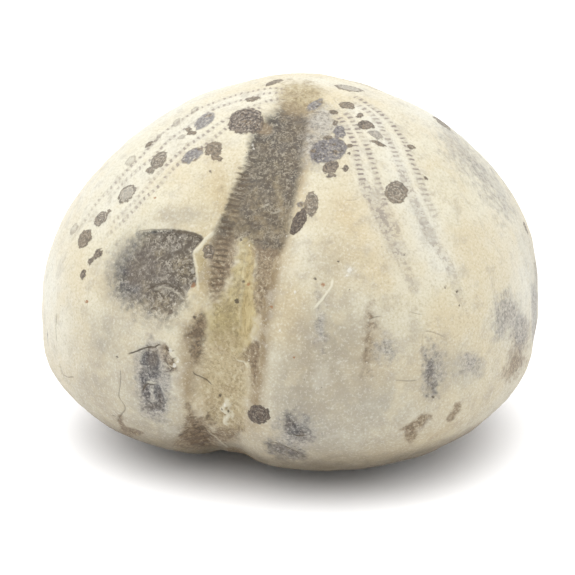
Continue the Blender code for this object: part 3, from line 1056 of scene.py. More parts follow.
def row_fields(surface, rows, pitch, slanted=False):
    """Turns along the nearest row, half widths to its side, and its strength, which fades at both ends."""
    count = len(surface.points)
    turns, side, strength = np.zeros(count), np.full(count, ROW_REACH), np.zeros(count)
    fade_start, fade = ROW_FADE
    for line, darkness, half_width in rows:
        near, along, off, length = surface.beside(line, half_width * ROW_REACH)
        off = off / half_width
        closer = np.abs(off) < np.abs(side[near])
        chosen, along, off = near[closer], along[closer], off[closer]
        turns[chosen] = along / pitch
        side[chosen] = off if slanted else np.abs(off)
        faded = 1.0 - fade * smoothstep(fade_start * length, length, along)
        rim = smoothstep(ROW_REACH, ROW_RIM * ROW_REACH, np.abs(off))
        strength[chosen] = darkness * faded * tapered(along, length, *ROW_ENDS) * rim
    return turns, side, strength


def jagged(line, random):
    """The line with its points thrown a little off it."""
    return line + random.uniform(-FAR_CRACK_THROW, FAR_CRACK_THROW, line.shape)


def stroke_fields(surface, strokes, far_strokes=()):
    """How far each point lies to the side of the nearest cracked line, painted shadow line or ridge, its
    strength and its relief.
    """
    count = len(surface.points)
    side, strength, height = np.full(count, 1.0), np.zeros(count), np.zeros(count)
    lines = [(surface.pixel_line(stroke[0]), *stroke[1:]) for stroke in strokes]
    random = np.random.default_rng(CRACKS_SEED)
    lines += [(jagged(surface.angle_line(stroke[0]), random), *stroke[1:]) for stroke in far_strokes]
    for line, half_width, rise, darkness in lines:
        near, along, off, length = surface.beside(line, max(STROKE_REACH, STROKE_REACH_WIDTHS * half_width))
        fading = min(STROKE_END, length * STROKE_END_SHARE)
        ends = tapered(along, length, fading, fading)
        shape = rise * ends * np.exp(-(off / max(half_width, LEAST_STROKE)) ** 2)
        stronger(height, near, shape)
        scaled = off * LINE_SCALE / half_width
        closer = (np.abs(scaled) < np.abs(side[near])) & (darkness > 0.0)
        side[near[closer]] = scaled[closer]
        strength[near[closer]] = (darkness * ends)[closer]
    return side, strength, height


def tint_fields(surface):
    """How strong each cloud of colour is, 0 to 1."""
    tints = {tint: np.zeros(len(surface.points)) for tint in TINTS}
    for mark, tint, strength in laid_marks(surface, CLOUDS, FAR_CLOUDS):
        near, share = mark.shares(surface.points, CLOUD_REACH)
        cloud = np.exp(-CLOUD_FALL * share ** 2) * smoothstep(*CLOUD_RIM, share)
        thickened(tints[tint], near, strength * cloud)
    for tint, trails in TRAILS.items():
        for places, half_width, strength in trails:
            near, along, off, length = surface.beside(surface.pixel_line(places), half_width * CLOUD_REACH)
            ends = tapered(along, length, *TRAIL_ENDS)
            thickened(tints[tint], near, strength * np.exp(-(off / half_width) ** 2) * ends)
    return tints


def ground_fields(surface):
    """For each ragged patch, distance inside it over the softness of its edge."""
    grounds = {ground: np.full(len(surface.points), FAR_AWAY) for ground in GROUNDS}
    for ground, outlines in PATCH_OUTLINES.items():
        for outline, softness in outlines:
            stronger(grounds[ground], slice(None), surface.within(outline) / softness)
    for mark, ground, softness in laid_marks(surface, PATCHES, FAR_PATCHES):
        near, share = mark.shares(surface.points, PATCH_REACH)
        stronger(grounds[ground], near, (1.0 - share) * mark.size / softness)
    return grounds


def chip_field(surface):
    """Distance inside the chip over its softness, which is fine along its brink and wide where it fades, and
    how deeply the chip is scooped, from 0 to 1."""
    outline = smooth_loop(CHIP)
    brink = line_distance(surface.pixels, smooth_line(CHIP_BRINK)) * PIXEL_MM
    edge = line_distance(surface.pixels, outline, True) * PIXEL_MM
    fading = line_distance(surface.pixels, smooth_line(CHIP_FADE)) * PIXEL_MM
    inside = inside_outline(surface.pixels, outline) & (surface.facing > 0.0)
    sharp, soft = CHIP_SOFTNESS
    share = np.minimum(brink / sharp, np.maximum(fading, edge) / soft)
    lost, start, end = SCOOP_EASE
    scoop = smoothstep(0.0, SCOOP_BRINK, brink) * (1.0 - lost * smoothstep(start, end, brink))
    scoop *= smoothstep(0.0, SCOOP_FADE, fading)
    return np.maximum(np.where(inside, share, -share), FAR_AWAY), np.where(inside, scoop, 0.0)


class Fields:
    """All that the relief and the material need to know at each point."""

    def __init__(self, surface):
        self.spot_inside, self.spot_radius, self.spot_looks = spot_fields(surface)
        self.dots = dot_fields(surface)
        self.pores = row_fields(surface, pore_rows(surface), PORE_PITCH)
        self.comb = row_fields(surface, [(surface.pixel_line(COMB_ROW), *COMB_LOOK)], COMB_PITCH, True)
        self.cracks_and_shadows = stroke_fields(surface, CRACK_AND_SHADOW_LINES, FAR_CRACKS)
        self.ridges = stroke_fields(surface, RIDGES)
        self.tints = tint_fields(surface)
        self.grounds = ground_fields(surface)
        self.chip, self.scoop = chip_field(surface)
        softness = mix(*BAND_SOFTNESS, self.tints["combed"])
        self.band = np.clip(surface.within(BAND) / softness, FAR_AWAY, -FAR_AWAY)
        self.tongue = np.clip(surface.within(TONGUE), FAR_AWAY, -FAR_AWAY)
        self.straw = np.clip(surface.within(STRAW), FAR_AWAY, -FAR_AWAY)

    def fineness_wanted(self):
        """Above nought where the mesh has to be fine: near small marks and sharp edges."""
        lines = []
        for side, strength, _ in (self.cracks_and_shadows, self.ridges):
            rank = FINE_LINE_RANK - np.abs(side) / FINE_REACH * FINE_LINE_SLOPE
            lines.append(np.where(strength > FINE_LINE_STRENGTH, rank, 0.0))
        rows_edge = np.where(self.pores[2] > FINE_ROW_STRENGTH, np.abs(self.pores[1]), np.inf)
        inner = [(dots, FINE_DOTS) for dots in self.dots.values()]
        inner += [(self.spot_inside, FINE_SPOTS), (np.maximum(self.band, self.chip), FINE_REGIONS)]
        edges = ((self.chip, FINE_CHIP), (self.band, FINE_BAND), (rows_edge, FINE_ROWS))
        places = [np.where(inside > least, rank, 0.0) for inside, (least, rank) in inner]
        places += [np.where(np.abs(edge) < most, rank, 0.0) for edge, (most, rank) in edges]
        return np.max(lines + places, axis=0)


def relief(surface, fields):
    """How far each point stands out from the smooth form."""
    lumps = Lumps(LUMPS_SEED)
    points = surface.points
    fibres = points * FIBRE_STRETCH
    height = lumps.layered(points, LUMPS)
    band = smoothstep(*BAND_SPAN, fields.band)
    height += band * (lumps.layered(fibres, BAND_FIBRES) + lumps.layered(points, BAND_LUMPS) - BAND_SINK)
    height += smoothstep(*CHIP_SPAN, fields.chip) * lumps.layered(points, CHIP_LUMPS)
    height -= fields.scoop * SCOOP_DEPTH
    tongue = lumps.layered(fibres, TONGUE_FIBRES) + lumps.layered(points, TONGUE_LUMPS) + TONGUE_RISE
    height += smoothstep(*TONGUE_SPAN, fields.tongue) * tongue
    raised = smoothstep(*SPOT_SPAN, fields.spot_inside) * fields.spot_looks[:, 2]
    ripple = np.cos(fields.spot_radius * 2.0 * math.pi / RING_PITCH) * fields.spot_looks[:, 0]
    height += raised * (SPOT_RISE + RIPPLE_RISE * ripple)
    for (turns, side, strength), flatness in zip((fields.pores, fields.comb), DASH_FLATNESS):
        height -= PORE_DEPTH * strength * dashes(turns) * np.exp(-side ** flatness)
    rough_ground = lumps.layered(points, GROUND_LUMPS)
    for ground, (sink, rough) in GROUND_RELIEF.items():
        height -= smoothstep(*GROUND_SPAN, fields.grounds[ground]) * (sink - rough * rough_ground)
    height += broken_relief(surface, lumps) - fields.cracks_and_shadows[2] + fields.ridges[2]
    for look, depth in DOT_DEPTHS.items():
        height -= depth * smoothstep(*DOT_SPAN, fields.dots[look])
    return height


def dashes(turns):
    return (0.5 + 0.5 * np.cos(turns * 2.0 * math.pi)) ** DASH_POWER


def broken_relief(surface, lumps):
    """Broken, stepped ground beside the lower chip and the crystals at the foot of the groove."""
    height = np.zeros(len(surface.points))
    for place, size, rise in BROKEN_GROUND:
        near, share = surface.pixel_mark(*place).shares(surface.points, BROKEN_REACH)
        steps = np.round(lumps.at(surface.points[near] + BROKEN_SHIFT, size) * STEPS_IN_RISE) / STEPS_IN_RISE
        height[near] += rise * steps * smoothstep(*BROKEN_SPAN, share)
    return height


# ---------------------------------------------------------------- material
def srgb(red, green, blue):
    """A colour as the eye reads it, 0 to 255, in the renderer's own linear values."""
    return tuple((value / 255.0 / 12.92) if value < 10.3 else ((value / 255.0 + 0.055) / 1.055) ** 2.4
                 for value in (red, green, blue))


STONE_DEPTH = 0.56
CREAM = srgb(238, 230, 202)
CREAM_WARM = srgb(232, 218, 183)
CREAM_GREY = srgb(194, 184, 164)
FOOT_DIRT_AND_SHADE = srgb(132, 118, 94)
PALE = srgb(243, 240, 224)
SHADE = srgb(184, 170, 140)
CLOUD_COLOURS = {
    "tan": srgb(212, 190, 145),
    "pale": PALE,
    "olive": srgb(186, 172, 118),
    "grey": srgb(156, 152, 142),
    "brown": srgb(150, 128, 92),
}
SPOT_BROWN = srgb(136, 118, 95)
SPOT_DARK = srgb(82, 70, 58)
SPOT_BLUE = srgb(132, 130, 134)
SPOT_DEEP = srgb(62, 50, 44)
SPOT_LINE = srgb(206, 197, 180)
CRACK_AND_SHADOW = srgb(78, 66, 50)
RIDGE = srgb(246, 240, 216)
FLECK = srgb(252, 248, 232)
DOT_COLOURS = (srgb(74, 60, 48), srgb(170, 118, 74), srgb(248, 244, 230))
# Crystal grounds: the two colours they drift between, their dark crystals and their light ones
STRAW_COLOURS = (srgb(212, 193, 142), srgb(198, 178, 126), srgb(146, 126, 82), srgb(234, 221, 178))
TONGUE_COLOURS = (srgb(190, 173, 120), srgb(170, 152, 104), srgb(116, 98, 62), srgb(226, 214, 170))
BAND_COLOURS = (srgb(99, 88, 68), srgb(73, 74, 75), srgb(32, 26, 22), srgb(194, 186, 165))
CHIP_COLOURS = (srgb(128, 126, 120), srgb(152, 142, 118), srgb(46, 43, 40), srgb(214, 208, 192))
GROUND_COLOURS = {
    "brown": (srgb(158, 138, 108), srgb(140, 118, 90), srgb(92, 74, 54), srgb(206, 194, 166)),
    "grey": (srgb(176, 172, 162), srgb(188, 181, 168), srgb(112, 106, 100), srgb(218, 213, 200)),
    "dark": (srgb(92, 90, 92), srgb(106, 101, 96), srgb(44, 42, 44), srgb(196, 191, 182)),
    "clay": (srgb(200, 184, 144), srgb(182, 163, 124), srgb(128, 108, 74), srgb(236, 228, 202)),
    "purple": (srgb(120, 98, 71), srgb(106, 85, 62), srgb(60, 46, 34), srgb(172, 152, 120)),
}
# Crystals in a ground: their scale in turns per mm, and how strongly they stand out
PATCH_CRYSTALS = (2.8, 0.8)
CLAY_CRYSTALS = (2.8, 0.5)
BAND_CRYSTALS = (2.9, 1.0)
COMBED_CRYSTALS = (1.9, 1.2)
TONGUE_CRYSTALS = (2.2, 0.55)
STRAW_CRYSTALS = (2.0, 0.6)
CHIP_CRYSTALS = (2.3, 1.3)
# How a region's edge wanders and blends: the blotches' factor and shift, the blend's levels and strength
BAND_EDGE = (2.0, -1.0, -1.1, 1.2, 0.96)
TONGUE_EDGE = (4.4, -2.4, -0.5, 0.8, 0.85)
STRAW_EDGE = (3.6, -1.9, -0.35, 0.45, 0.80)
CHIP_EDGE = (2.4, -1.2, -1.3, 1.6, 0.97)
PATCH_EDGE = (3.2, -1.6, -0.8, 1.0, 0.90)
# How the combed band is drawn out into fibres and strands, and the straw into streaks
FIBRES = (0.40, 0.40, 1.4)
STRANDS = (0.85, 0.85, 2.0)
STREAKS = (1.3, 1.3, 0.4)
# Rows of dashes: their colour, how strong the stain round a row is, and how far a dash slants
PORE_LOOKS = {"pores": (srgb(150, 137, 127), 0.18, 0.0), "comb": (srgb(84, 70, 50), 0.08, 0.12)}

# Noises: turns per mm, detail, roughness
STONE_NOISES = {"grain": (3.6, 3.0, 0.65), "mottle": (0.55, 4.0, 0.6), "drift": (0.32, 3.0, 0.6),
                "broad": (0.13, 3.0, 0.55)}
SUGAR = (8.0, 2.0, 0.6)
BLOTCHES = (0.9, 4.0, 0.65)
PATCH_BLOTCHES = (1.1, 4.0, 0.65)
WORN_PLACES = (0.9, 3.0, 0.6)
CRUMBS = (1.5, 2.0, 0.6)
ROW_WANDER = (1.4, 2.0, 0.5)
SPOT_CLOUDS = (0.8, 3.0, 0.6)
SPECKLES = (3.4, 3.0, 0.65)
# Noises that an edge or a line wanders by: turns per mm, detail, how far in all
FRAYED = (1.5, 3.0, 4.4)
SPOT_WANDER = (1.7, 3.0, 1.0)
LINE_WANDER = (0.8, 3.0, 0.24)
DOT_WANDER = (4.5, 3.0, 0.5)
# Where the broad noise warms the cream, how unevenly the clouds lie, and the darkening at the foot, partly
# dirt and partly painted shade near the floor
WARMING = (0.40, 0.62, 1.0)
LOW_SHADE_UNEVEN = (1.0, 0.1)
CLOUDS_UNEVEN = (1.6, 0.2)
FOOT_SHADE_LEVELS = (0.80, 1.6)
FOOT_SHADE_UNEVEN = (0.8, 0.4)
# What tints the stone as a noise goes from one level to another: the noise, both levels, strength, colour
STONE_LAYERS = (
    ("mottle", 0.50, 0.68, 0.45, CREAM_GREY),
    ("grain", 0.52, 0.30, 0.42, SHADE),
    ("grain", 0.52, 0.70, 0.40, FLECK),
    ("drift", 0.54, 0.72, 0.35, CREAM_WARM),
    ("drift", 0.46, 0.30, 0.20, PALE),
)
# The same in a ground of crystals, from its coarse and its fine noise to its dark or its light colour
CRYSTAL_LAYERS = (
    ("coarse", 0.50, 0.34, 0.75, "dark"),
    ("coarse", 0.54, 0.68, 0.55, "light"),
    ("fine", 0.49, 0.36, 0.95, "dark"),
    ("fine", 0.53, 0.66, 0.95, "light"),
)
# Its noises: turns as a share of its scale, detail, roughness, distortion. Its drift goes between two levels
CRYSTAL_NOISES = {"drift": (0.14, 3.0, 0.6, 0.0), "coarse": (0.45, 3.0, 0.65, 0.9),
                  "fine": (1.0, 3.0, 0.7, 0.5)}
CRYSTAL_DRIFT = (0.40, 0.60, 1.0)
# Threads in a ground, dark then light: turns as a share of its scale, width, strength, which of its colours
THREADS = ((0.42, 0.13, 0.90, 2), (0.53, 0.05, 0.75, 3))
THREAD_WANDER = (2.0, 1.0)
THREAD_BREAKS = (0.8, 2.0, 0.6, 0.5)
BREAK_LEVELS = (0.44, 0.56)
THREADY_CONTRAST = 0.75
# Scattered flecks: points per mm, radius as a share of their spacing, share of the points that carry one
WHITE_FLECKS = (0.75, 0.09, 0.05)
DARK_SPECKS = (0.462, 0.045, 0.30)
SPARKLES = (0.5, 0.16, 0.10)
WHITE_STRENGTH = 0.35
SPECK_STRENGTH = 0.55
# Rows of dashes: levels between which a place is worn, with its strengths; the stain's and a dash's sides in
# half widths; the wave's levels that make a dash; how its course wanders; what changes where a row is loose
WORN = (0.34, 0.56, 0.25, 1.0)
STAIN_SIDES = (2.1, 0.5)
DASH_SIDES = (1.30, 0.60)
DASH_WAVE = (-0.25, 0.75)
DASH_BEND = 0.8
ROW_RAGGED = (0.8, -0.4)
CRUMB_STRETCH = (0.9, 0.9, 1.5)
CRUMB_LEVELS = (0.49, 0.55)
LOOSE_SPREAD = -0.9
LOOSE_FADE = (-0.35, 1.0)
# Spots: levels of the speckles and of the clouds that make a blue spot blue; the rings' wave, breaks, start
# in mm inside the rim and strength; the pale core; the dark rim; and the edge, wider where the spot is blue
BROWN_SPECKLES = (0.56, 0.40, 1.0)
BLUE_SPECKLES = (0.48, 0.34, 1.0)
LIGHT_SPECKLES = (0.52, 0.68, 1.0)
BLUE_CLOUDS = (0.34, 0.48)
RING_WANDER = 3.6
RING_WAVE = (0.25, 0.95)
RING_BREAKS = (0.40, 0.58, 0.10, 1.0)
RING_START = (0.10, 0.28)
RING_STRENGTH = 0.75
PALE_CORE = (0.20, 0.55)
SPOT_RIM = (0.22, 0.06)
RIM_STRENGTH = (-0.45, 0.55)
EDGE_START = (-0.16, -0.06)
EDGE_END = 0.10
# How far out ridges and the cracked and painted shadow lines end, and within what they are full; the dots'
# edge; and the brown painted shade in hollows
RIDGE_SIDES = (0.16, 0.05)
RIDGE_STRENGTH = 0.75
CRACK_AND_SHADOW_SIDES = (0.12, 0.03)
DOT_EDGE = (-0.07, 0.07, 0.8)
HOLLOW_SHADE = (0.06, 0.40, 0.35)
# Near the ground the stone is greyer, partly its own tone and partly painted shade near the floor: strength
# and height in mm where it ends, for two layers
LOW_GREY_AND_SHADE = ((1.1, 27.0), (1.8, 13.0))
LOW_SHADE_START = 2.0
ROUGHNESS = (0.3, 0.7, 0.62, 0.48)
SPECULAR = 0.35
BUMP = {"Strength": 0.75, "Distance": 0.06 * MM}
SUGAR_SHARE = 0.5


class Graph:
    """Short names for the nodes that a material or a world is made of."""

    def __init__(self, owner, shader="Principled BSDF"):
        self.owner = owner
        self.owner.use_nodes = True
        self.tree = self.owner.node_tree
        self.shader = self.tree.nodes[shader]

    def node(self, kind, values, **settings):
        node = self.tree.nodes.new(kind)
        for key, setting in settings.items():
            setattr(node, key, setting)
        for socket, value in values.items():
            self.put(node.inputs[socket], value)
        return node

    def put(self, socket, value):
        if isinstance(value, bpy.types.NodeSocket):
            self.tree.links.new(value, socket)
        elif socket.type == "RGBA":
            socket.default_value = (*value, 1.0)
        else:
            socket.default_value = value

    def math(self, operation, first, second=0.0, third=0.0, clamp=False):
        values = {0: first, 1: second, 2: third}
        return self.node("ShaderNodeMath", values, operation=operation, use_clamp=clamp).outputs[0]

    def add(self, first, second):
        return self.math("ADD", first, second)

    def times(self, first, second, clamp=False):
        return self.math("MULTIPLY", first, second, clamp=clamp)

    def scaled(self, value, factor, shift=0.0):
        return self.math("MULTIPLY_ADD", value, factor, shift)

    def absolute(self, value):
        return self.math("ABSOLUTE", value)

    def wave(self, turns):
        return self.math("COSINE", self.times(turns, 2.0 * math.pi))

    def step(self, value, low, high, bottom=0.0, top=1.0):
        """From bottom to top, smoothly, as the value goes from low to high."""
        values = {"Value": value, "From Min": low, "From Max": high, "To Min": bottom, "To Max": top}
        return self.node("ShaderNodeMapRange", values, interpolation_type="SMOOTHSTEP").outputs["Result"]

    def blend(self, share, first, second, kind="MIX"):
        values = {"Factor": share, 6: first, 7: second}
        return self.node("ShaderNodeMix", values, data_type="RGBA", blend_type=kind).outputs[2]

    def layer(self, colour, value, low, high, strength, tint):
        """The colour with a tint over it, as strong as said where the value reaches high."""
        return self.blend(self.step(value, low, high, 0.0, strength), colour, tint)

    def stretched(self, vector, factors):
        return self.node("ShaderNodeVectorMath", {0: vector, 1: factors}, operation="MULTIPLY").outputs[0]

    def noise(self, vector, scale, detail=2.0, roughness=0.5, distortion=0.0):
        values = {"Vector": vector, "Scale": scale, "Detail": detail, "Roughness": roughness,
                  "Distortion": distortion}
        return self.node("ShaderNodeTexNoise", values).outputs["Fac"]

    def ragged(self, vector, scale, detail, amount):
        """Noise about nought, for an edge or a line that wanders by this amount in all."""
        return self.scaled(self.noise(vector, scale, detail, 0.6), amount, -amount / 2.0)

    def carried(self, name):
        """The three values that the mesh carries under a name."""
        source = self.node("ShaderNodeAttribute", {}, attribute_name=name)
        return self.node("ShaderNodeSeparateXYZ", {0: source.outputs["Vector"]}).outputs[:]


def flecks(graph, place, density, radius, share):
    """Scattered round flecks: the share of the scattered points that carries one."""
    points = graph.node("ShaderNodeTexVoronoi", {"Vector": place, "Scale": density})
    picked = graph.node("ShaderNodeSeparateColor", {0: points.outputs["Color"]}).outputs[0]
    fleck = graph.step(points.outputs["Distance"], radius, radius * 0.6)
    return graph.times(fleck, graph.step(picked, 1.0 - share, 1.02 - share))


def stone_colour(graph, place):
    """Cream silica with soft clouds and a sugary grain, and its grain for the bump."""
    noises = {name: graph.noise(place, *noise) for name, noise in STONE_NOISES.items()}
    mottle = noises["mottle"]
    amounts = dict(zip(("grey", "brown", "tan"), graph.carried("tints")))
    amounts["pale"], amounts["olive"], low = graph.carried("tints_more")
    colour = graph.layer(CREAM, noises["broad"], *WARMING, CREAM_WARM)
    # Greyer towards the floor, partly the belly's own tone and partly painted shade
    greyed_and_shaded = graph.times(low, graph.scaled(mottle, *LOW_SHADE_UNEVEN), clamp=True)
    colour = graph.blend(greyed_and_shaded, colour, CREAM_GREY)
    uneven = graph.scaled(mottle, *CLOUDS_UNEVEN)
    # The broad pale clouds along the top and the side edges are painted highlight
    for tint, cloud in CLOUD_COLOURS.items():
        colour = graph.blend(graph.times(amounts[tint], uneven, clamp=True), colour, cloud)
    for noise, start, end, strength, tint in STONE_LAYERS:
        colour = graph.layer(colour, noises[noise], start, end, strength, tint)
    # Darker still at the foot: dirt and painted shade near the floor
    colour = graph.layer(colour, low, *FOOT_SHADE_LEVELS, graph.scaled(mottle, *FOOT_SHADE_UNEVEN), FOOT_DIRT_AND_SHADE)
    white = graph.times(flecks(graph, place, *WHITE_FLECKS), WHITE_STRENGTH)
    dark = graph.times(flecks(graph, place, *DARK_SPECKS), SPECK_STRENGTH)
    colour = graph.blend(dark, graph.blend(white, colour, FLECK), SPOT_DARK)
    return colour, noises["grain"]


def crystal_ground(graph, place, colours, scale, contrast):
    """Salt and pepper ground of small crystals: a broad drift between two colours, then darks and lights."""
    tints = {"dark": colours[2], "light": colours[3]}
    noises = {name: graph.noise(place, scale * share, *noise)
              for name, (share, *noise) in CRYSTAL_NOISES.items()}
    colour = graph.layer(colours[0], noises["drift"], *CRYSTAL_DRIFT, colours[1])
    for noise, start, end, strength, tint in CRYSTAL_LAYERS:
        colour = graph.layer(colour, noises[noise], start, end, strength * contrast, tints[tint])
    density, radius, share = SPARKLES
    sparkle = flecks(graph, place, scale * density, radius, share)
    return graph.blend(graph.times(sparkle, contrast), colour, FLECK)


def threads(graph, place, scale, width):
    """Short wandering threads: where one noise passes its middle and another is high."""
    line = graph.step(graph.absolute(graph.ragged(place, scale, *THREAD_WANDER)), width, width * 0.2)
    share, *noise = THREAD_BREAKS
    return graph.times(line, graph.step(graph.noise(place, scale * share, *noise), *BREAK_LEVELS))


def thready_ground(graph, place, colours, scale, contrast):
    """Small crystals with dark and light threads running through them."""
    colour = crystal_ground(graph, place, colours, scale, contrast * THREADY_CONTRAST)
    for share, width, strength, tint in THREADS:
        line = graph.times(threads(graph, place, scale * share, width), strength)
        colour = graph.blend(line, colour, colours[tint])
    return colour


def region_laid(graph, colour, inside, blotch, edge, ground):
    """The colour with a ground over it where a field is high, with an edge that wanders with the blotches."""
    factor, shift, start, end, strength = edge
    reach = graph.add(inside, graph.scaled(blotch, factor, shift))
    return graph.layer(colour, reach, start, end, strength, ground)


def paint_grounds(graph, place, colour):
    """The groove's dark band, its olive tongue and straw strip, the chip and the ragged patches."""
    band, tongue, chip = graph.carried("regions")
    straw = graph.carried("lines_more")[2]
    combing = graph.carried("wear")[0]
    blotch = graph.noise(place, *BLOTCHES)
    inner = thready_ground(graph, place, BAND_COLOURS, *BAND_CRYSTALS)
    combed = thready_ground(graph, graph.stretched(place, STRANDS), BAND_COLOURS, *COMBED_CRYSTALS)
    fray = graph.ragged(graph.stretched(place, FIBRES), *FRAYED)
    frayed = graph.add(band, graph.times(fray, combing))
    colour = region_laid(graph, colour, frayed, blotch, BAND_EDGE, graph.blend(combing, inner, combed))
    olive = crystal_ground(graph, place, TONGUE_COLOURS, *TONGUE_CRYSTALS)
    colour = region_laid(graph, colour, tongue, blotch, TONGUE_EDGE, olive)
    pale_straw = crystal_ground(graph, graph.stretched(place, STREAKS), STRAW_COLOURS, *STRAW_CRYSTALS)
    colour = region_laid(graph, colour, straw, blotch, STRAW_EDGE, pale_straw)
    broken = thready_ground(graph, place, CHIP_COLOURS, *CHIP_CRYSTALS)
    colour = region_laid(graph, colour, chip, blotch, CHIP_EDGE, broken)
    blotch = graph.noise(place, *PATCH_BLOTCHES)
    for inside, ground in zip((*graph.carried("grounds"), *graph.carried("grounds_more")), GROUNDS):
        crystals = CLAY_CRYSTALS if ground == "clay" else PATCH_CRYSTALS
        patch = crystal_ground(graph, place, GROUND_COLOURS[ground], *crystals)
        colour = region_laid(graph, colour, inside, blotch, PATCH_EDGE, patch)
    return colour


def paint_pores(graph, place, colour, grain):
    """Rows of soft dashes, each row on a faint stain. Where a row is loose, crumbs stand for its dashes."""
    wander = graph.noise(place, *ROW_WANDER)
    worn = graph.step(graph.noise(place, *WORN_PLACES), *WORN)
    crumbs = graph.step(graph.noise(graph.stretched(place, CRUMB_STRETCH), *CRUMBS), *CRUMB_LEVELS)
    loose = graph.carried("wear")[1]
    for name, (dark, stain, slant) in PORE_LOOKS.items():
        turns, side, strength = graph.carried(name)
        bent = graph.add(graph.scaled(side, slant), graph.scaled(wander, DASH_BEND))
        ragged = graph.add(graph.absolute(side), graph.scaled(grain, *ROW_RAGGED))
        ragged = graph.add(ragged, graph.scaled(loose, LOOSE_SPREAD))
        halo = graph.times(graph.step(ragged, *STAIN_SIDES, 0.0, stain), strength)
        colour = graph.blend(halo, colour, dark)
        dash = graph.step(graph.wave(graph.add(turns, bent)), *DASH_WAVE)
        if name == "pores":
            dash = graph.node("ShaderNodeMix", {"Factor": loose, "A": dash, "B": crumbs}).outputs["Result"]
        dash = graph.times(dash, graph.step(ragged, *DASH_SIDES))
        dash = graph.times(dash, graph.scaled(loose, *LOOSE_FADE))
        colour = graph.blend(graph.times(graph.times(dash, strength), worn), colour, dark)
    return colour


def spot_fill(graph, wander, speckle, blue):
    """Speckled brown, or a speckled blue-grey where the spot is blue."""
    brown = graph.layer(SPOT_BROWN, speckle, *BROWN_SPECKLES, SPOT_DARK)
    cool = graph.layer(SPOT_BLUE, speckle, *BLUE_SPECKLES, SPOT_DARK)
    cool = graph.layer(cool, speckle, *LIGHT_SPECKLES, SPOT_LINE)
    return graph.blend(graph.times(blue, graph.step(wander, *BLUE_CLOUDS)), brown, cool)


def paint_spots(graph, place, colour):
    """Ringed spots: dark rims, and lighter wandering rings inside."""
    inside, radius, blue = graph.carried("spots")
    ringed, strength, pale = graph.carried("spot_looks")
    wander = graph.noise(place, *SPOT_CLOUDS)
    speckle = graph.noise(place, *SPECKLES)
    edge = graph.add(inside, graph.ragged(place, *SPOT_WANDER))
    fill = spot_fill(graph, wander, speckle, blue)
    turns = graph.add(graph.scaled(radius, 1.0 / RING_PITCH), graph.scaled(wander, RING_WANDER))
    ring = graph.times(graph.step(graph.wave(turns), *RING_WAVE), graph.step(speckle, *RING_BREAKS))
    ring = graph.times(ring, graph.times(graph.step(inside, *RING_START), ringed))
    fill = graph.blend(graph.times(ring, RING_STRENGTH), fill, SPOT_LINE)
    fill = graph.blend(graph.times(graph.step(edge, *PALE_CORE), pale, clamp=True), fill, PALE)
    fill = graph.blend(graph.times(pale, -1.0, clamp=True), fill, SPOT_DEEP)
    fill = graph.layer(fill, edge, *SPOT_RIM, graph.scaled(blue, *RIM_STRENGTH), SPOT_DARK)
    cover = graph.step(edge, graph.scaled(blue, *EDGE_START), EDGE_END)
    return graph.blend(graph.times(cover, strength), colour, fill)


def paint_lines_and_dots(graph, place, colour):
    """Light ridges, dark cracked lines and painted shadow lines, small dots, and a brown painted shade in
    hollows.
    """
    crack_and_shadow, crack_and_shadow_strength, ridge = graph.carried("lines")
    ridge_strength, hollow_shade_depth, _ = graph.carried("lines_more")
    wander = graph.ragged(place, *LINE_WANDER)
    line = graph.step(graph.absolute(graph.add(ridge, wander)), *RIDGE_SIDES)
    colour = graph.blend(graph.times(line, graph.times(ridge_strength, RIDGE_STRENGTH)), colour, RIDGE)
    line = graph.step(graph.absolute(graph.add(crack_and_shadow, wander)), *CRACK_AND_SHADOW_SIDES)
    colour = graph.blend(graph.times(line, crack_and_shadow_strength), colour, CRACK_AND_SHADOW)
    ragged = graph.ragged(place, *DOT_WANDER)
    for inside, tint in zip(graph.carried("dots"), DOT_COLOURS):
        colour = graph.layer(colour, graph.add(inside, ragged), *DOT_EDGE, tint)
    # Painted shade: a brown tint where the surface is sunk, by how deep it lies
    return graph.layer(colour, hollow_shade_depth, *HOLLOW_SHADE, SPOT_BROWN)


def stone_material():
    graph = Graph(bpy.data.materials.new("fossil_stone"))
    coordinates = graph.node("ShaderNodeTexCoord", {}).outputs["Object"]
    place = graph.stretched(coordinates, (1.0 / MM,) * 3)
    colour, grain = stone_colour(graph, place)
    colour = paint_grounds(graph, place, colour)
    colour = paint_pores(graph, place, colour, grain)
    colour = paint_spots(graph, place, colour)
    colour = paint_lines_and_dots(graph, place, colour)
    graph.put(graph.shader.inputs["Base Color"], graph.blend(1.0, colour, (STONE_DEPTH,) * 3, "MULTIPLY"))
    graph.put(graph.shader.inputs["Roughness"], graph.step(grain, *ROUGHNESS))
    graph.shader.inputs["Specular IOR Level"].default_value = SPECULAR
    sugar = graph.add(grain, graph.scaled(graph.noise(place, *SUGAR), SUGAR_SHARE))
    bump = graph.node("ShaderNodeBump", {"Height": sugar, **BUMP})
    graph.put(graph.shader.inputs["Normal"], bump.outputs["Normal"])
    return graph.owner


# ---------------------------------------------------------------- the piece and its setting
def carry(mesh, name, first, second, third):
    attribute = mesh.attributes.new(name, "FLOAT_VECTOR", "POINT")
    values = np.stack(np.broadcast_arrays(first, second, third), axis=1)
    attribute.data.foreach_set("vector", values.astype(np.float32).ravel())


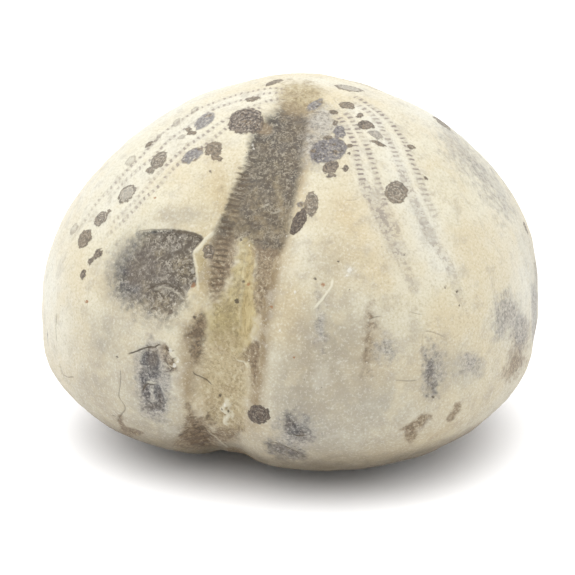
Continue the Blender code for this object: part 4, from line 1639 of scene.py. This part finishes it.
def carry_fields(mesh, surface, fields, hollow_shade_depth):
    """Puts the fields on the mesh, three under a name, as the material reads them."""
    looks = fields.spot_looks
    tints = fields.tints
    grounds = [fields.grounds[ground] for ground in GROUNDS]
    # How strongly the stone is greyed and darkened near the floor, partly painted shade
    low = np.max([strength * (1.0 - smoothstep(LOW_SHADE_START, end, surface.points[:, 2]))
                  for strength, end in LOW_GREY_AND_SHADE], axis=0)
    carry(mesh, "spots", fields.spot_inside, fields.spot_radius, looks[:, 1])
    carry(mesh, "spot_looks", looks[:, 0], looks[:, 2], looks[:, 3])
    carry(mesh, "pores", *fields.pores)
    carry(mesh, "comb", *fields.comb)
    carry(mesh, "regions", fields.band, fields.tongue, fields.chip)
    carry(mesh, "grounds", *grounds[:3])
    carry(mesh, "grounds_more", *grounds[3:], 0.0)
    carry(mesh, "wear", tints["combed"], tints["loose"], 0.0)
    carry(mesh, "tints", tints["grey"], tints["brown"], tints["tan"])
    carry(mesh, "tints_more", tints["pale"], tints["olive"], low)
    carry(mesh, "lines", fields.cracks_and_shadows[0], fields.cracks_and_shadows[1], fields.ridges[0])
    carry(mesh, "lines_more", fields.ridges[1], hollow_shade_depth, fields.straw)
    carry(mesh, "dots", *fields.dots.values())


def fitted(points, low, high):
    """The points drawn into the CAD's box where they stand out of it."""
    points[:, 2] = np.maximum(points[:, 2], 0.0)
    least, most = points.min(0), points.max(0)
    least_wanted = np.maximum(least, low)
    most_wanted = np.minimum(most, high)
    return least_wanted + (points - least) * (most_wanted - least_wanted) / (most - least)


def make_stone(low, high):
    directions, faces = geodesic_sphere()
    surface = Surface(directions, faces)
    wanted = Fields(surface).fineness_wanted()[faces].max(axis=1)
    directions, faces = refined_sphere(directions, faces, wanted)
    surface = Surface(directions, faces)
    fields = Fields(surface)
    height = relief(surface, fields)
    points = fitted(surface.points + surface.normals * height[:, None], low / MM, high / MM)
    mesh = bpy.data.meshes.new(PIECE)
    mesh.from_pydata((points * MM).tolist(), [], faces.tolist())
    mesh.shade_smooth()
    carry_fields(mesh, surface, fields, -height)
    mesh.materials.append(stone_material())
    piece = bpy.data.objects.new(PIECE, mesh)
    bpy.context.scene.collection.objects.link(piece)
    return piece


def make_floor():
    mesh = bpy.data.meshes.new("floor")
    corners = [(x * FLOOR_HALF * MM, y * FLOOR_HALF * MM, 0) for x, y in ((-1, -1), (1, -1), (1, 1), (-1, 1))]
    mesh.from_pydata(corners, [], [(0, 1, 2, 3)])
    graph = Graph(bpy.data.materials.new("floor_white"))
    graph.put(graph.shader.inputs["Base Color"], FLOOR_COLOUR)
    graph.put(graph.shader.inputs["Roughness"], FLOOR_ROUGHNESS)
    graph.put(graph.shader.inputs["Specular IOR Level"], FLOOR_SPECULAR)
    mesh.materials.append(graph.owner)
    floor = bpy.data.objects.new("floor", mesh)
    bpy.context.scene.collection.objects.link(floor)
    return floor


def make_camera():
    data = bpy.data.cameras.new("photo_camera")
    data.sensor_width = SENSOR_MM
    data.lens = LENS_MM
    data.clip_start, data.clip_end = CAMERA_CLIP
    camera = bpy.data.objects.new("photo_camera", data)
    camera.location = Vector(CAMERA_PLACE) * MM
    camera.rotation_mode = "QUATERNION"
    camera.rotation_quaternion = Vector(-BACK).to_track_quat("-Z", "Y")
    bpy.context.scene.collection.objects.link(camera)
    bpy.context.scene.camera = camera


def make_room():
    """A white room whose camera side is darker."""
    graph = Graph(bpy.data.worlds.new("white_room"), "Background")
    graph.put(graph.shader.inputs["Color"], ROOM_COLOUR)
    direction = graph.node("ShaderNodeTexCoord", {}).outputs["Generated"]
    sides = {0: direction, 1: tuple(BACK)}
    toward = graph.node("ShaderNodeVectorMath", sides, operation="DOT_PRODUCT").outputs["Value"]
    room = graph.step(toward, *FRONT_SPAN, ROOM_STRENGTH, FRONT_STRENGTH)
    seen = graph.node("ShaderNodeLightPath", {}).outputs["Is Camera Ray"]
    strength = graph.add(room, graph.times(seen, graph.scaled(room, -1.0, BACKDROP_STRENGTH)))
    graph.put(graph.shader.inputs["Strength"], strength)
    bpy.context.scene.world = graph.owner


def make_overhead():
    """A large soft light overhead."""
    data = bpy.data.lights.new("overhead", "AREA")
    data.shape = "DISK"
    data.size = OVERHEAD_WIDTH * MM
    data.energy = OVERHEAD_WATTS
    light = bpy.data.objects.new("overhead", data)
    light.location = Vector(OVERHEAD_PLACE) * MM
    light.rotation_mode = "QUATERNION"
    light.rotation_quaternion = Vector(OVERHEAD_PLACE).to_track_quat("Z", "Y")
    bpy.context.scene.collection.objects.link(light)


def main():
    cad_low, cad_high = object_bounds()
    piece = make_stone(np.array(cad_low), np.array(cad_high))
    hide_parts(NODE)
    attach(piece, "root")
    make_floor()
    make_camera()
    make_room()
    make_overhead()
    bpy.context.scene.view_settings.view_transform = "Standard"


main()
